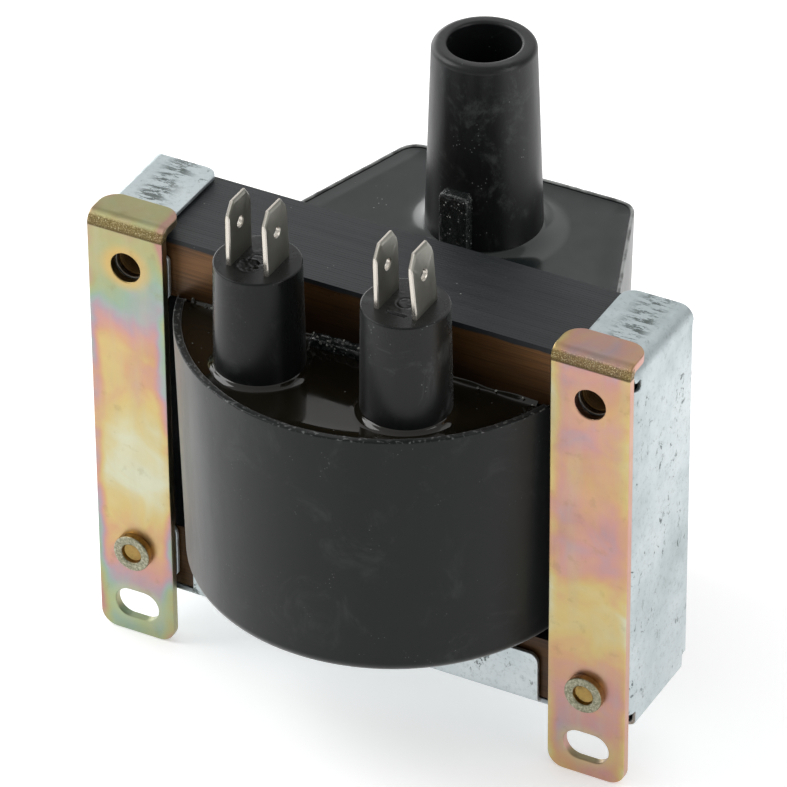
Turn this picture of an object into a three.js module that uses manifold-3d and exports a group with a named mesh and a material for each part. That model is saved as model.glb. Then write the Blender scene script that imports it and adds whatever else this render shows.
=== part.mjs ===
// Ignition coil with a laminated core, a potted winding cup, two double blade terminals and a
// high-tension tower, held by two plated steel brackets.
//
// Millimetres. X runs along the core, Y from the brackets (front) to the tower side (rear), Z up.
// Y is 0 at the brackets' front faces and Z is 0 at their lower ends; the outer group then moves
// everything so that the origin is the middle of the part's footprint.

import * as THREE from 'three';
import { mergeVertices } from 'three/addons/utils/BufferGeometryUtils.js';
import Module from 'manifold-3d';

const wasm = await Module();
wasm.setup();

// ---------------------------------------------------------------- driving dimensions

const gap = 0.3; // between pieces that touch on the real part

const bracket = {
  x: 37.45,
  width: 12.5,
  thickness: 1.4,
  lipDepth: 6.6,
  lipCorner: 2.9,
  bendRadius: 2,
  footCorner: 2.6,
  holeZ: 65.5,
  holeRadius: 2.4,
  rivetZ: 15.3,
  slotZ: 5.1,
  slotWidth: 7.3,
  slotHeight: 4.9,
};

const frame = {
  halfWidth: 43.7,
  sheet: 0.7,
  bottomZ: 8.5,
  tabInnerX: 33,
  earInnerX: 31.2,
  upperEarZ: 60.5,
  lowerEarZ: 20.5,
  sideInnerX: 35.4,
  bottomFlangeX: 28.7,
  bottomFlangeHeight: 9,
  flangeCorner: 1.6,
  leftTabBend: 1,
  rightTabBend: 2.2,
  flangeBend: 1.3,
  reliefWidth: 2,
  reliefTop: 3.8,
  reliefBottom: 3,
};

const core = {
  depth: 17.2,
  topZ: 71,
  upperYoke: 9.9,
  lowerYoke: 10.5,
  legInnerX: 32,
  centreLeg: 18,
  shim: 0.4,
};

const cup = {
  frontRadius: 31.7,
  centreY: 11.9,
  rearY: 54.8,
  leftTaper: THREE.MathUtils.degToRad(17.4),
  rightTaper: THREE.MathUtils.degToRad(20.8),
  rearCorner: 3.6,
  rimZ: 61.8,
  floorZ: 20.4,
  draft: 0.024,
  wall: 1.8,
  bottomFillet: 2,
  tubeWall: 1.2,
  tubeCorner: 1.5,
};

const post = { x: 11.8, y: -6.4, topRadius: 6.4, baseRadius: 6.7, topZ: 78.6, edge: 0.5 };

const blade = {
  width: 6.3,
  thickness: 0.8,
  pitch: 6.05,
  tipZ: 88.7,
  chamfer: 1.3,
  chamferDrop: 1.85,
  holeRadius: 0.85,
  holeBelowTip: 4.4,
  webBelowPost: 1.5,
  bendAbovePost: 0.5,
  shoulder: 0.05,
  leftLeans: [0, 1.9].map(THREE.MathUtils.degToRad),
  rightLeans: [1.3, 5].map(THREE.MathUtils.degToRad),
};

const tower = {
  y: 40.2,
  topZ: 92.5,
  topRadius: 7.75,
  baseRadius: 8.9,
  boreRadius: 5.4,
  boreFloorZ: 66,
  rim: 1.1,
  lugWidth: 4.6,
  lugReach: 1.4,
  lugTopZ: 72,
};

const winding = {
  top: 56,
  bottom: 23,
  flange: 0.8,
  primaryBobbin: [14.3, 15.3],
  primaryWire: [15.6, 18.9],
  insulation: [19.2, 19.8],
  secondaryBobbin: [20.1, 21.1],
  secondaryWire: [21.4, 26],
  secondaryFlangeRadius: 27,
  sections: 6,
};

// ---------------------------------------------------------------- derived places

const coreFrontY = bracket.thickness + frame.sheet + 2 * gap;
const coreRearY = coreFrontY + core.depth;
const coreMidY = (coreFrontY + coreRearY) / 2;
const frameFrontY = coreFrontY - gap - frame.sheet;
const frameRearY = coreRearY + gap + frame.sheet;
const frameTopZ = core.topZ + gap + frame.sheet;
const coreHalfWidth = frame.halfWidth - frame.sheet - gap;
const coreBottomZ = frame.bottomZ + frame.sheet + gap;
const yokeUndersideZ = core.topZ - core.upperYoke;
const windowBottomZ = coreBottomZ + core.lowerYoke;
const legTopZ = yokeUndersideZ - gap;
const centreLegTopZ = legTopZ - core.shim - gap;
const pottingTopZ = yokeUndersideZ - gap;
const pottingUndersideZ = winding.top + 2.6;
const clearHole = bracket.holeRadius;
const innerSegments = 28;
const frontmostY = cup.centreY - cup.frontRadius;
const footprintMidY = (frontmostY + cup.rearY) / 2;

// ---------------------------------------------------------------- solids and shapes

function toSolid(geometry) {
  const bare = geometry.clone();
  bare.deleteAttribute('normal');
  bare.deleteAttribute('uv');
  const merged = mergeVertices(bare, 1e-4);
  const corners = [];
  for (let i = 0; i < merged.index.count; i += 3) {
    const [a, b, c] = [0, 1, 2].map((k) => merged.index.getX(i + k));
    if (a !== b && b !== c && c !== a) corners.push(a, b, c);
  }
  return new wasm.Manifold(new wasm.Mesh({
    numProp: 3,
    vertProperties: Float32Array.from(merged.attributes.position.array),
    triVerts: Uint32Array.from(corners),
  }));
}

function toGeometry(solid) {
  const mesh = solid.getMesh();
  const geometry = new THREE.BufferGeometry();
  geometry.setAttribute('position', new THREE.BufferAttribute(mesh.vertProperties, 3));
  geometry.setIndex(new THREE.BufferAttribute(mesh.triVerts, 1));
  geometry.computeVertexNormals();
  return geometry;
}

const sorted = (a, b) => [Math.min(a, b), Math.max(a, b)];

// A box given by its two faces on each axis.
function block([x0, x1], [y0, y1], [z0, z1]) {
  const geometry = new THREE.BoxGeometry(x1 - x0, y1 - y0, z1 - z0);
  geometry.translate((x0 + x1) / 2, (y0 + y1) / 2, (z0 + z1) / 2);
  return toSolid(geometry);
}

// A round bar along Z.
function upright(radius, x, y, z0, z1, sides = 40) {
  const geometry = new THREE.CylinderGeometry(radius, radius, z1 - z0, sides);
  geometry.rotateX(Math.PI / 2);
  geometry.translate(x, y, (z0 + z1) / 2);
  return toSolid(geometry);
}

// A round bar along Y.
function crosswise(radius, x, z, y0, y1, sides = 32) {
  const geometry = new THREE.CylinderGeometry(radius, radius, y1 - y0, sides);
  geometry.translate(x, (y0 + y1) / 2, z);
  return toSolid(geometry);
}

// A flat plate whose outline is drawn in X and Z, between two depths.
function uprightPlate(shape, y0, y1, curveSegments = 8) {
  const geometry = new THREE.ExtrudeGeometry(shape, {
    depth: y1 - y0,
    bevelEnabled: false,
    curveSegments,
  });
  geometry.rotateX(Math.PI / 2);
  geometry.translate(0, y1, 0);
  return geometry;
}

// A plate whose outline is drawn in X and Y, between two heights.
function flatPlate(shape, z0, z1, curveSegments = 8) {
  const geometry = new THREE.ExtrudeGeometry(shape, {
    depth: z1 - z0,
    bevelEnabled: false,
    curveSegments,
  });
  geometry.translate(0, 0, z0);
  return geometry;
}

// A turned piece about the Z axis; the profile lists [radius, height] pairs upward on the outside.
function turned(profile, segments = 40) {
  const points = profile.map(([radius, height]) => new THREE.Vector2(radius, height));
  const geometry = new THREE.LatheGeometry(points, segments);
  geometry.rotateX(Math.PI / 2);
  return geometry;
}

// A rectangle with its four corner radii in the order lower left, lower right, upper right, upper left.
function roundedRectangle(x0, x1, y0, y1, [a, b, c, d]) {
  const shape = new THREE.Shape();
  shape.moveTo(x0 + a, y0);
  shape.lineTo(x1 - b, y0);
  if (b) shape.absarc(x1 - b, y0 + b, b, -Math.PI / 2, 0, false);
  shape.lineTo(x1, y1 - c);
  if (c) shape.absarc(x1 - c, y1 - c, c, 0, Math.PI / 2, false);
  shape.lineTo(x0 + d, y1);
  if (d) shape.absarc(x0 + d, y1 - d, d, Math.PI / 2, Math.PI, false);
  shape.lineTo(x0, y0 + a);
  if (a) shape.absarc(x0 + a, y0 + a, a, Math.PI, 1.5 * Math.PI, false);
  return shape;
}

function roundHole(x, y, radius) {
  const path = new THREE.Path();
  path.absarc(x, y, radius, 0, 2 * Math.PI, true);
  return path;
}

// ---------------------------------------------------------------- the cup's outline

function arcPoints(cx, cy, radius, from, to, steps) {
  return Array.from({ length: steps + 1 }, (_, i) => {
    const angle = from + ((to - from) * i) / steps;
    return new THREE.Vector2(cx + radius * Math.cos(angle), cy + radius * Math.sin(angle));
  });
}

// Seen from above: a round front, straight tapering sides that touch it, and a straight rear edge.
// The two sides don't taper alike.
function cupOutline(inset) {
  const radius = cup.frontRadius - inset;
  const corner = Math.max(cup.rearCorner - inset, 0.8);
  const cornerY = cup.rearY - inset - corner;
  const { leftTaper, rightTaper } = cup;
  const cornerX = (taper) => (
    (radius - corner - (cornerY - cup.centreY) * Math.sin(taper)) / Math.cos(taper)
  );
  return [
    ...arcPoints(0, cup.centreY, radius, Math.PI - leftTaper, 2 * Math.PI + rightTaper, 44),
    ...arcPoints(cornerX(rightTaper), cornerY, corner, rightTaper, Math.PI / 2, 5),
    ...arcPoints(-cornerX(leftTaper), cornerY, corner, Math.PI / 2, Math.PI - leftTaper, 5),
  ];
}

// Joins convex outlines of equal point count, listed from the lowest up, into one closed solid.
function loft(sections) {
  const count = sections[0].outline.length;
  const positions = sections.flatMap(({ z, outline }) => outline.flatMap((p) => [p.x, p.y, z]));
  const corners = [];
  for (let level = 0; level + 1 < sections.length; level += 1) {
    for (let i = 0; i < count; i += 1) {
      const a = level * count + i;
      const b = level * count + ((i + 1) % count);
      corners.push(a, b, b + count, a, b + count, a + count);
    }
  }
  const top = (sections.length - 1) * count;
  for (let i = 1; i + 1 < count; i += 1) {
    corners.push(0, i + 1, i, top, top + i, top + i + 1);
  }
  const geometry = new THREE.BufferGeometry();
  geometry.setAttribute('position', new THREE.Float32BufferAttribute(positions, 3));
  geometry.setIndex(corners);
  return toSolid(geometry);
}

// The body inside the cup's outline between two heights, with the moulded draft.
function cupBody(inset, z0, z1) {
  const at = (z) => ({ z, outline: cupOutline(inset + cup.draft * (cup.rimZ - z)) });
  return loft([at(z0), at(z1)]);
}

// ---------------------------------------------------------------- pieces

const pieces = new THREE.Group();

function addPiece(name, geometry, material) {
  const mesh = new THREE.Mesh(geometry, new THREE.MeshStandardMaterial(material));
  mesh.name = name;
  pieces.add(mesh);
  return mesh;
}

const finish = {
  yellowZinc: { color: 0xc9a36a, metalness: 0.85, roughness: 0.35 },
  whiteZinc: { color: 0xb9c0c4, metalness: 0.85, roughness: 0.4 },
  varnishedSteel: { color: 0x3a2a20, metalness: 0.4, roughness: 0.5 },
  blackPlastic: { color: 0x17191a, metalness: 0, roughness: 0.45 },
  resin: { color: 0x0b0c0c, metalness: 0, roughness: 0.12 },
  bobbinPlastic: { color: 0x8d8675, metalness: 0, roughness: 0.6 },
  copper: { color: 0xa8592c, metalness: 0.8, roughness: 0.35 },
  brass: { color: 0xb9963f, metalness: 0.9, roughness: 0.3 },
  tin: { color: 0xc4c0b8, metalness: 0.9, roughness: 0.3 },
  pressboard: { color: 0x9a7f57, metalness: 0, roughness: 0.85 },
};

// The E of the core: lower yoke, two outer legs and a shorter centre leg, pressed from sheet.
function coreE() {
  const halfLeg = core.centreLeg / 2;
  const shape = new THREE.Shape();
  shape.moveTo(-coreHalfWidth, coreBottomZ);
  shape.lineTo(coreHalfWidth, coreBottomZ);
  shape.lineTo(coreHalfWidth, legTopZ);
  shape.lineTo(core.legInnerX, legTopZ);
  shape.lineTo(core.legInnerX, windowBottomZ);
  shape.lineTo(halfLeg, windowBottomZ);
  shape.lineTo(halfLeg, centreLegTopZ);
  shape.lineTo(-halfLeg, centreLegTopZ);
  shape.lineTo(-halfLeg, windowBottomZ);
  shape.lineTo(-core.legInnerX, windowBottomZ);
  shape.lineTo(-core.legInnerX, legTopZ);
  shape.lineTo(-coreHalfWidth, legTopZ);
  shape.holes.push(roundHole(bracket.x, bracket.rivetZ, clearHole));
  shape.holes.push(roundHole(-bracket.x, bracket.rivetZ, clearHole));
  return uprightPlate(shape, coreFrontY, coreRearY, 16);
}

// The I of the core: the upper yoke, with the two upper fixing holes.
function coreI() {
  const inside = frame.sheet + gap;
  const corners = [0, 0, frame.rightTabBend - inside, Math.max(0, frame.leftTabBend - inside)];
  const shape = roundedRectangle(-coreHalfWidth, coreHalfWidth, yokeUndersideZ, core.topZ, corners);
  shape.holes.push(roundHole(bracket.x, bracket.holeZ, clearHole));
  shape.holes.push(roundHole(-bracket.x, bracket.holeZ, clearHole));
  return uprightPlate(shape, coreFrontY, coreRearY, 16);
}

// Spacer that sets the magnetic gap above the centre leg.
function shimPlate() {
  const halfLeg = core.centreLeg / 2;
  const shape = roundedRectangle(-halfLeg, halfLeg, coreFrontY, coreRearY, [0, 0, 0, 0]);
  return flatPlate(shape, centreLegTopZ + gap, centreLegTopZ + gap + core.shim);
}

// The folded sheet's outer surface, or its inner one when inset by the sheet, rounded along the bends.
function foldedBody(inset) {
  const [x, z0, z1] = [frame.halfWidth - inset, frame.bottomZ + inset, frameTopZ - inset];
  const [y0, y1] = [frameFrontY + inset, frameRearY - inset];
  const r = frame.flangeBend - inset;
  const front = roundedRectangle(-x, x, z0, z1, [r, r, frame.rightTabBend - inset, frame.leftTabBend - inset]);
  const plan = roundedRectangle(-x, x, y0, y1, [r, r, r, r]);
  const alongY = toSolid(uprightPlate(front, y0, y1, 4));
  const alongZ = toSolid(flatPlate(plan, z0, z1, 4));
  return alongY.intersect(alongZ);
}

// Folded sheet around the core's sides and bottom, with flanges front and rear and tabs on top.
function coreFrame() {
  const beyondY = [frameFrontY - 1, frameRearY + 1];
  const insideTop = frameTopZ - frame.sheet;
  const r = frame.flangeCorner;
  const flangeX = frame.bottomFlangeX;
  const flangeTop = frame.bottomZ + frame.bottomFlangeHeight;
  const flange = roundedRectangle(-flangeX, flangeX, frame.bottomZ - 1, flangeTop, [0, 0, r, r]);
  // The opening between the side flanges goes down to the bottom web but leaves the bottom flanges.
  const opening = block(
    [-frame.earInnerX, frame.earInnerX],
    beyondY,
    [frame.bottomZ + frame.sheet, frameTopZ + 1],
  ).subtract(toSolid(uprightPlate(flange, ...beyondY)));
  let solid = foldedBody(0).subtract(foldedBody(frame.sheet)).subtract(opening);
  solid = solid.subtract(block([-frame.tabInnerX, frame.tabInnerX], beyondY, [insideTop - 1, frameTopZ + 1]));
  for (const side of [-1, 1]) {
    // The side flanges are narrower between the ears.
    const waist = sorted(side * (frame.earInnerX - 1), side * frame.sideInnerX);
    solid = solid.subtract(block(waist, beyondY, [frame.lowerEarZ, frame.upperEarZ]));
    // Bend reliefs where side and flanges meet: at the bottom, and in front just under the tab's bend.
    const corner = sorted(side * (frame.halfWidth - frame.reliefWidth), side * (frame.halfWidth + 1));
    for (const y of [frameFrontY, frameRearY]) {
      const depth = [y - frame.reliefWidth, y + frame.reliefWidth];
      solid = solid.subtract(block(corner, depth, [frame.bottomZ - 1, frame.bottomZ + frame.reliefBottom]));
    }
    const tabBend = side < 0 ? frame.leftTabBend : frame.rightTabBend;
    const front = [frameFrontY - frame.reliefWidth, frameFrontY + frame.reliefWidth];
    solid = solid.subtract(block(corner, front, [frameTopZ - frame.reliefTop, frameTopZ - tabBend]));
    solid = solid.subtract(crosswise(clearHole, side * bracket.x, bracket.holeZ, ...beyondY));
    solid = solid.subtract(crosswise(clearHole, side * bracket.x, bracket.rivetZ, ...beyondY));
  }
  return toGeometry(solid);
}

// Mounting strip: flat face with hole, rivet hole and foot slot, folded back over the frame's tab.
function bracketStrip(side) {
  const x0 = side * bracket.x - bracket.width / 2;
  const x1 = side * bracket.x + bracket.width / 2;
  const lipTopZ = frameTopZ + gap + bracket.thickness;
  const bendZ = lipTopZ - bracket.bendRadius;
  const face = roundedRectangle(x0, x1, 0, bendZ, [bracket.footCorner, bracket.footCorner, 0, 0]);
  let solid = toSolid(uprightPlate(face, 0, bracket.thickness));
  const lip = roundedRectangle(
    x0,
    x1,
    bracket.bendRadius,
    bracket.lipDepth,
    [0, 0, bracket.lipCorner, bracket.lipCorner],
  );
  solid = solid.add(toSolid(flatPlate(lip, lipTopZ - bracket.thickness, lipTopZ)));
  const bend = new THREE.Shape();
  bend.absarc(bracket.bendRadius, bendZ, bracket.bendRadius, Math.PI / 2, Math.PI, false);
  bend.absarc(bracket.bendRadius, bendZ, bracket.bendRadius - bracket.thickness, Math.PI, Math.PI / 2, true);
  const fold = new THREE.ExtrudeGeometry(bend, { depth: x1 - x0, bevelEnabled: false, curveSegments: 10 });
  fold.rotateY(Math.PI / 2);
  fold.rotateX(Math.PI / 2);
  fold.translate(x0, 0, 0);
  solid = solid.add(toSolid(fold));
  solid = solid.subtract(crosswise(bracket.holeRadius, side * bracket.x, bracket.holeZ, -1, 3));
  solid = solid.subtract(crosswise(bracket.holeRadius, side * bracket.x, bracket.rivetZ, -1, 3));
  const halfStraight = (bracket.slotWidth - bracket.slotHeight) / 2;
  const slotRadius = bracket.slotHeight / 2;
  const slot = new THREE.Shape();
  slot.absarc(side * bracket.x + halfStraight, bracket.slotZ, slotRadius, -Math.PI / 2, Math.PI / 2, false);
  slot.absarc(side * bracket.x - halfStraight, bracket.slotZ, slotRadius, Math.PI / 2, 1.5 * Math.PI, false);
  solid = solid.subtract(toSolid(uprightPlate(slot, -1, 3, 16)));
  return toGeometry(solid);
}

// Semi-tubular rivet along Y: hollow head in front, closed head at the rear.
function rivet(side) {
  const shank = bracket.holeRadius - gap;
  const head = 3;
  const length = frameRearY + gap;
  const profile = [
    [0, -length - 1.5],
    [head - 0.5, -length - 1.5],
    [head, -length - 1],
    [head, -length],
    [shank, -length],
    [shank, gap],
    [head, gap],
    [head, gap + 0.7],
    [head - 0.3, gap + 1],
    [1.6, gap + 1],
    [1.5, -0.4],
    [0, -0.4],
  ];
  const geometry = turned(profile, 28);
  geometry.rotateX(Math.PI / 2);
  geometry.translate(side * bracket.x, 0, bracket.rivetZ);
  return geometry;
}

// Moulded cup: outer wall with a rounded bottom edge, floor, and a square tube round the centre leg.
function housingCup() {
  const steps = 4;
  const sections = [];
  for (let i = 0; i <= steps; i += 1) {
    const turn = ((Math.PI / 2) * i) / steps;
    const z = cup.floorZ + cup.bottomFillet * (1 - Math.cos(turn));
    const inset = cup.draft * (cup.rimZ - z) + cup.bottomFillet * (1 - Math.sin(turn));
    sections.push({ z, outline: cupOutline(inset) });
  }
  sections.push({ z: cup.rimZ, outline: cupOutline(0) });
  let solid = loft(sections);
  const floorTop = cup.floorZ + cup.wall;
  solid = solid.subtract(cupBody(cup.wall, floorTop, cup.rimZ + 1));
  const halfX = core.centreLeg / 2 + gap;
  const halfY = core.depth / 2 + gap;
  const r = cup.tubeCorner;
  const tube = roundedRectangle(
    -halfX - cup.tubeWall,
    halfX + cup.tubeWall,
    coreMidY - halfY - cup.tubeWall,
    coreMidY + halfY + cup.tubeWall,
    [r, r, r, r],
  );
  solid = solid.add(toSolid(flatPlate(tube, cup.floorZ, pottingUndersideZ - gap, 4)));
  solid = solid.subtract(block(
    [-halfX, halfX],
    [coreMidY - halfY, coreMidY + halfY],
    [cup.floorZ - 1, cup.rimZ + 2],
  ));
  // The rim is cut down where the upper yoke crosses it.
  solid = solid.subtract(block(
    [-coreHalfWidth, coreHalfWidth],
    [coreFrontY - gap, coreRearY + gap],
    [pottingTopZ, cup.rimZ + 1],
  ));
  return toGeometry(solid);
}

// Cast resin: a slab over the windings and the mass around them, open below for the winding group.
function potting() {
  let solid = cupBody(cup.wall + gap, cup.floorZ + cup.wall + gap, pottingTopZ);
  const clearance = winding.secondaryFlangeRadius + gap;
  solid = solid.subtract(upright(clearance, 0, coreMidY, cup.floorZ, pottingUndersideZ, 48));
  const halfX = core.centreLeg / 2 + gap;
  const halfY = core.depth / 2 + gap;
  solid = solid.subtract(block(
    [-halfX, halfX],
    [coreMidY - halfY, coreMidY + halfY],
    [pottingUndersideZ - 1, pottingTopZ + 1],
  ));
  for (const side of [-1, 1]) {
    const hole = post.baseRadius + gap;
    solid = solid.subtract(upright(hole, side * post.x, post.y, pottingUndersideZ - 1, pottingTopZ + 1));
  }
  const socket = tower.baseRadius + gap;
  solid = solid.subtract(upright(socket, 0, tower.y, winding.top - 6, pottingTopZ + 1));
  return toGeometry(solid);
}

// The folded terminal's plan, grown by a clearance when it is used as a slot.
function terminalSolid(side, leans, clearance, z0, z1) {
  const halfWidth = blade.width / 2 + clearance;
  const halfSheet = blade.thickness / 2 + clearance;
  const webRear = post.y + halfWidth;
  const bendZ = post.topZ + blade.bendAbovePost;
  const webTop = post.topZ - blade.webBelowPost + clearance;
  const solids = [];
  if (z0 < webTop) {
    const across = [side * post.x - blade.pitch / 2, side * post.x + blade.pitch / 2];
    solids.push(block(across, [webRear - blade.thickness - 2 * clearance, webRear], [z0, webTop]));
  }
  [-1, 1].forEach((hand, index) => {
    const x = side * post.x + (hand * blade.pitch) / 2;
    const footTop = Math.min(z1, bendZ);
    const halfFoot = halfSheet - blade.shoulder;
    const foot = block([x - halfFoot, x + halfFoot], [post.y - halfWidth, post.y + halfWidth], [z0, footTop]);
    solids.push(foot);
    if (z1 <= bendZ) return;
    const exposed = z1 - bendZ;
    const tab = new THREE.Shape();
    tab.moveTo(-blade.width / 2, -0.3);
    tab.lineTo(blade.width / 2, -0.3);
    tab.lineTo(blade.width / 2, exposed - blade.chamferDrop);
    tab.lineTo(blade.width / 2 - blade.chamfer, exposed);
    tab.lineTo(blade.chamfer - blade.width / 2, exposed);
    tab.lineTo(-blade.width / 2, exposed - blade.chamferDrop);
    tab.holes.push(roundHole(0, exposed - blade.holeBelowTip, blade.holeRadius));
    const plate = new THREE.ExtrudeGeometry(tab, {
      depth: blade.thickness,
      bevelEnabled: false,
      curveSegments: 10,
    });
    plate.translate(0, 0, -blade.thickness / 2);
    plate.rotateX(Math.PI / 2);
    plate.rotateZ(Math.PI / 2);
    plate.rotateY(-leans[index]);
    plate.translate(x, post.y, bendZ);
    solids.push(toSolid(plate));
  });
  return solids.reduce((sum, solid) => sum.add(solid));
}

function terminal(side, leans) {
  return toGeometry(terminalSolid(side, leans, 0, pottingUndersideZ - 0.6, blade.tipZ));
}

// Moulded post with the slot that holds the terminal and a shallow sprue recess between the blades.
function terminalPost(side) {
  const profile = [
    [0, pottingUndersideZ],
    [post.baseRadius, pottingUndersideZ],
    [post.baseRadius, pottingTopZ],
    [post.topRadius, post.topZ - post.edge],
    [post.topRadius - post.edge, post.topZ],
    [0, post.topZ],
  ];
  const column = turned(profile, 40);
  column.translate(side * post.x, post.y, 0);
  const slot = terminalSolid(side, [0, 0], gap, pottingUndersideZ - 1, post.topZ);
  const slotTop = terminalSolid(side, [0, 0], gap, post.topZ - 1, post.topZ).translate(0, 0, 0.5);
  const recess = block(
    [side * post.x - 1.3, side * post.x + 1.3],
    [post.y - 2.4, post.y + 1],
    [post.topZ - 0.6, post.topZ + 1],
  );
  return toGeometry(toSolid(column).subtract(slot).subtract(slotTop).subtract(recess));
}

// High-tension tower: tapered tube with a rounded rim, and a moulding lug on its front side.
function highTensionTower() {
  const contactHole = 3.6 + gap;
  const bottomZ = winding.top;
  const rimMid = (tower.topRadius + tower.boreRadius) / 2;
  const profile = [
    [contactHole, bottomZ],
    [tower.baseRadius, bottomZ],
    [tower.baseRadius, pottingTopZ],
    [tower.topRadius, tower.topZ - tower.rim],
    [tower.topRadius - 0.35, tower.topZ - 0.35],
    [rimMid + 0.2, tower.topZ],
    [rimMid - 0.2, tower.topZ],
    [tower.boreRadius, tower.topZ - 0.6],
    [tower.boreRadius, tower.boreFloorZ],
    [contactHole, tower.boreFloorZ],
    [contactHole, bottomZ],
  ];
  const tube = turned(profile, 48);
  tube.translate(0, tower.y, 0);
  const lug = block(
    [-tower.lugWidth / 2, tower.lugWidth / 2],
    [tower.y - tower.baseRadius - tower.lugReach, tower.y - tower.topRadius + 0.4],
    [pottingTopZ + gap, tower.lugTopZ],
  );
  return toGeometry(toSolid(tube).add(lug));
}

// Brass socket at the bottom of the tower's bore.
function highTensionContact() {
  const profile = [
    [0, winding.top],
    [3.6, winding.top],
    [3.6, tower.boreFloorZ + 2],
    [2.7, tower.boreFloorZ + 2],
    [2.7, winding.top + 3],
    [0, winding.top + 3],
  ];
  const geometry = turned(profile, 28);
  geometry.translate(0, tower.y, 0);
  return geometry;
}

// A ring about the centre leg between two radii and two heights.
function windingRing([inner, outer], z0, z1) {
  const profile = [
    [inner, z0],
    [outer, z0],
    [outer, z1],
    [inner, z1],
    [inner, z0],
  ];
  const geometry = turned(profile, innerSegments);
  geometry.translate(0, coreMidY, 0);
  return geometry;
}

function primaryBobbin() {
  const [inner, outer] = winding.primaryBobbin;
  const flangeRadius = winding.primaryWire[1];
  const profile = [
    [inner, winding.bottom],
    [flangeRadius, winding.bottom],
    [flangeRadius, winding.bottom + winding.flange],
    [outer, winding.bottom + winding.flange],
    [outer, winding.top - winding.flange],
    [flangeRadius, winding.top - winding.flange],
    [flangeRadius, winding.top],
    [inner, winding.top],
    [inner, winding.bottom],
  ];
  const geometry = turned(profile, innerSegments);
  geometry.translate(0, coreMidY, 0);
  return geometry;
}

const sectionPitch = (winding.top - winding.bottom - winding.flange) / winding.sections;

// Bobbin with one flange more than it has winding sections.
function secondaryBobbin() {
  const [inner, outer] = winding.secondaryBobbin;
  const profile = [[inner, winding.bottom]];
  for (let i = 0; i <= winding.sections; i += 1) {
    const z = winding.bottom + i * sectionPitch;
    if (i > 0) profile.push([outer, z]);
    profile.push([winding.secondaryFlangeRadius, z]);
    profile.push([winding.secondaryFlangeRadius, z + winding.flange]);
    if (i < winding.sections) profile.push([outer, z + winding.flange]);
  }
  profile.push([inner, winding.top]);
  profile.push([inner, winding.bottom]);
  const geometry = turned(profile, innerSegments);
  geometry.translate(0, coreMidY, 0);
  return geometry;
}

// A round wire through the given points.
function wire(radius, points) {
  const section = new THREE.Shape();
  section.absarc(0, 0, radius, 0, 2 * Math.PI, false);
  return new THREE.ExtrudeGeometry(section, {
    steps: 10,
    curveSegments: 5,
    bevelEnabled: false,
    extrudePath: new THREE.CatmullRomCurve3(points.map((p) => new THREE.Vector3(...p))),
  });
}

// Short wire from the primary winding's top, over the bobbin flanges, to a terminal's lower end.
function primaryLead(side) {
  const z = winding.top + 1;
  return wire(0.45, [
    [side * 6, coreMidY - 15.6, z],
    [side * 9, coreMidY - 15.4, z],
    [side * (post.x - blade.pitch / 2 + 0.6), post.y + blade.width / 2 - 1.9, z],
  ]);
}

// Wire from the last secondary section to the underside of the tower's contact.
function highTensionLink() {
  const z = winding.top - 1.2;
  return wire(0.6, [
    [0, coreMidY + winding.secondaryFlangeRadius + 0.9, z - 3],
    [0, tower.y - 1, z - 1.2],
    [0, tower.y + 1.4, z],
  ]);
}

// ---------------------------------------------------------------- the assembly

addPiece('core_e_stack', coreE(), finish.varnishedSteel);
addPiece('core_i_stack', coreI(), finish.varnishedSteel);
addPiece('air_gap_shim', shimPlate(), finish.pressboard);
addPiece('core_frame', coreFrame(), finish.whiteZinc);

for (const [hand, side] of [['left', -1], ['right', 1]]) {
  addPiece(`${hand}_bracket`, bracketStrip(side), finish.yellowZinc);
  addPiece(`${hand}_rivet`, rivet(side), finish.yellowZinc);
  addPiece(`${hand}_terminal_post`, terminalPost(side), finish.blackPlastic);
  const leans = side < 0 ? blade.leftLeans : blade.rightLeans;
  addPiece(`${hand}_terminal`, terminal(side, leans), finish.tin);
  addPiece(`${hand}_primary_lead`, primaryLead(side), finish.copper);
}

addPiece('housing_cup', housingCup(), finish.blackPlastic);
addPiece('potting', potting(), finish.resin);
addPiece('ht_tower', highTensionTower(), finish.blackPlastic);
addPiece('ht_contact', highTensionContact(), finish.brass);
addPiece('ht_link_wire', highTensionLink(), finish.copper);

addPiece('primary_bobbin', primaryBobbin(), finish.bobbinPlastic);
addPiece('primary_winding', windingRing(
  winding.primaryWire,
  winding.bottom + winding.flange + gap,
  winding.top - winding.flange - gap,
), finish.copper);
addPiece('interwinding_insulation', windingRing(
  winding.insulation,
  winding.bottom,
  winding.top,
), finish.pressboard);
addPiece('secondary_bobbin', secondaryBobbin(), finish.bobbinPlastic);
for (let i = 0; i < winding.sections; i += 1) {
  const z = winding.bottom + i * sectionPitch + winding.flange + gap;
  const section = windingRing(winding.secondaryWire, z, z + sectionPitch - winding.flange - 2 * gap);
  addPiece(`secondary_section_${i + 1}`, section, finish.copper);
}

const group = new THREE.Group();
pieces.position.y = -footprintMidY;
group.add(pieces);

export default group;
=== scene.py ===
"""Looks of the ignition coil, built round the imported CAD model.

Metres, in the part's own frame: X along the core, the brackets at -Y, the high-tension tower at +Y,
Z up from the brackets' feet.
"""

import math
import random

import bmesh
import bpy
from mathutils import Matrix, Vector, noise


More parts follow.
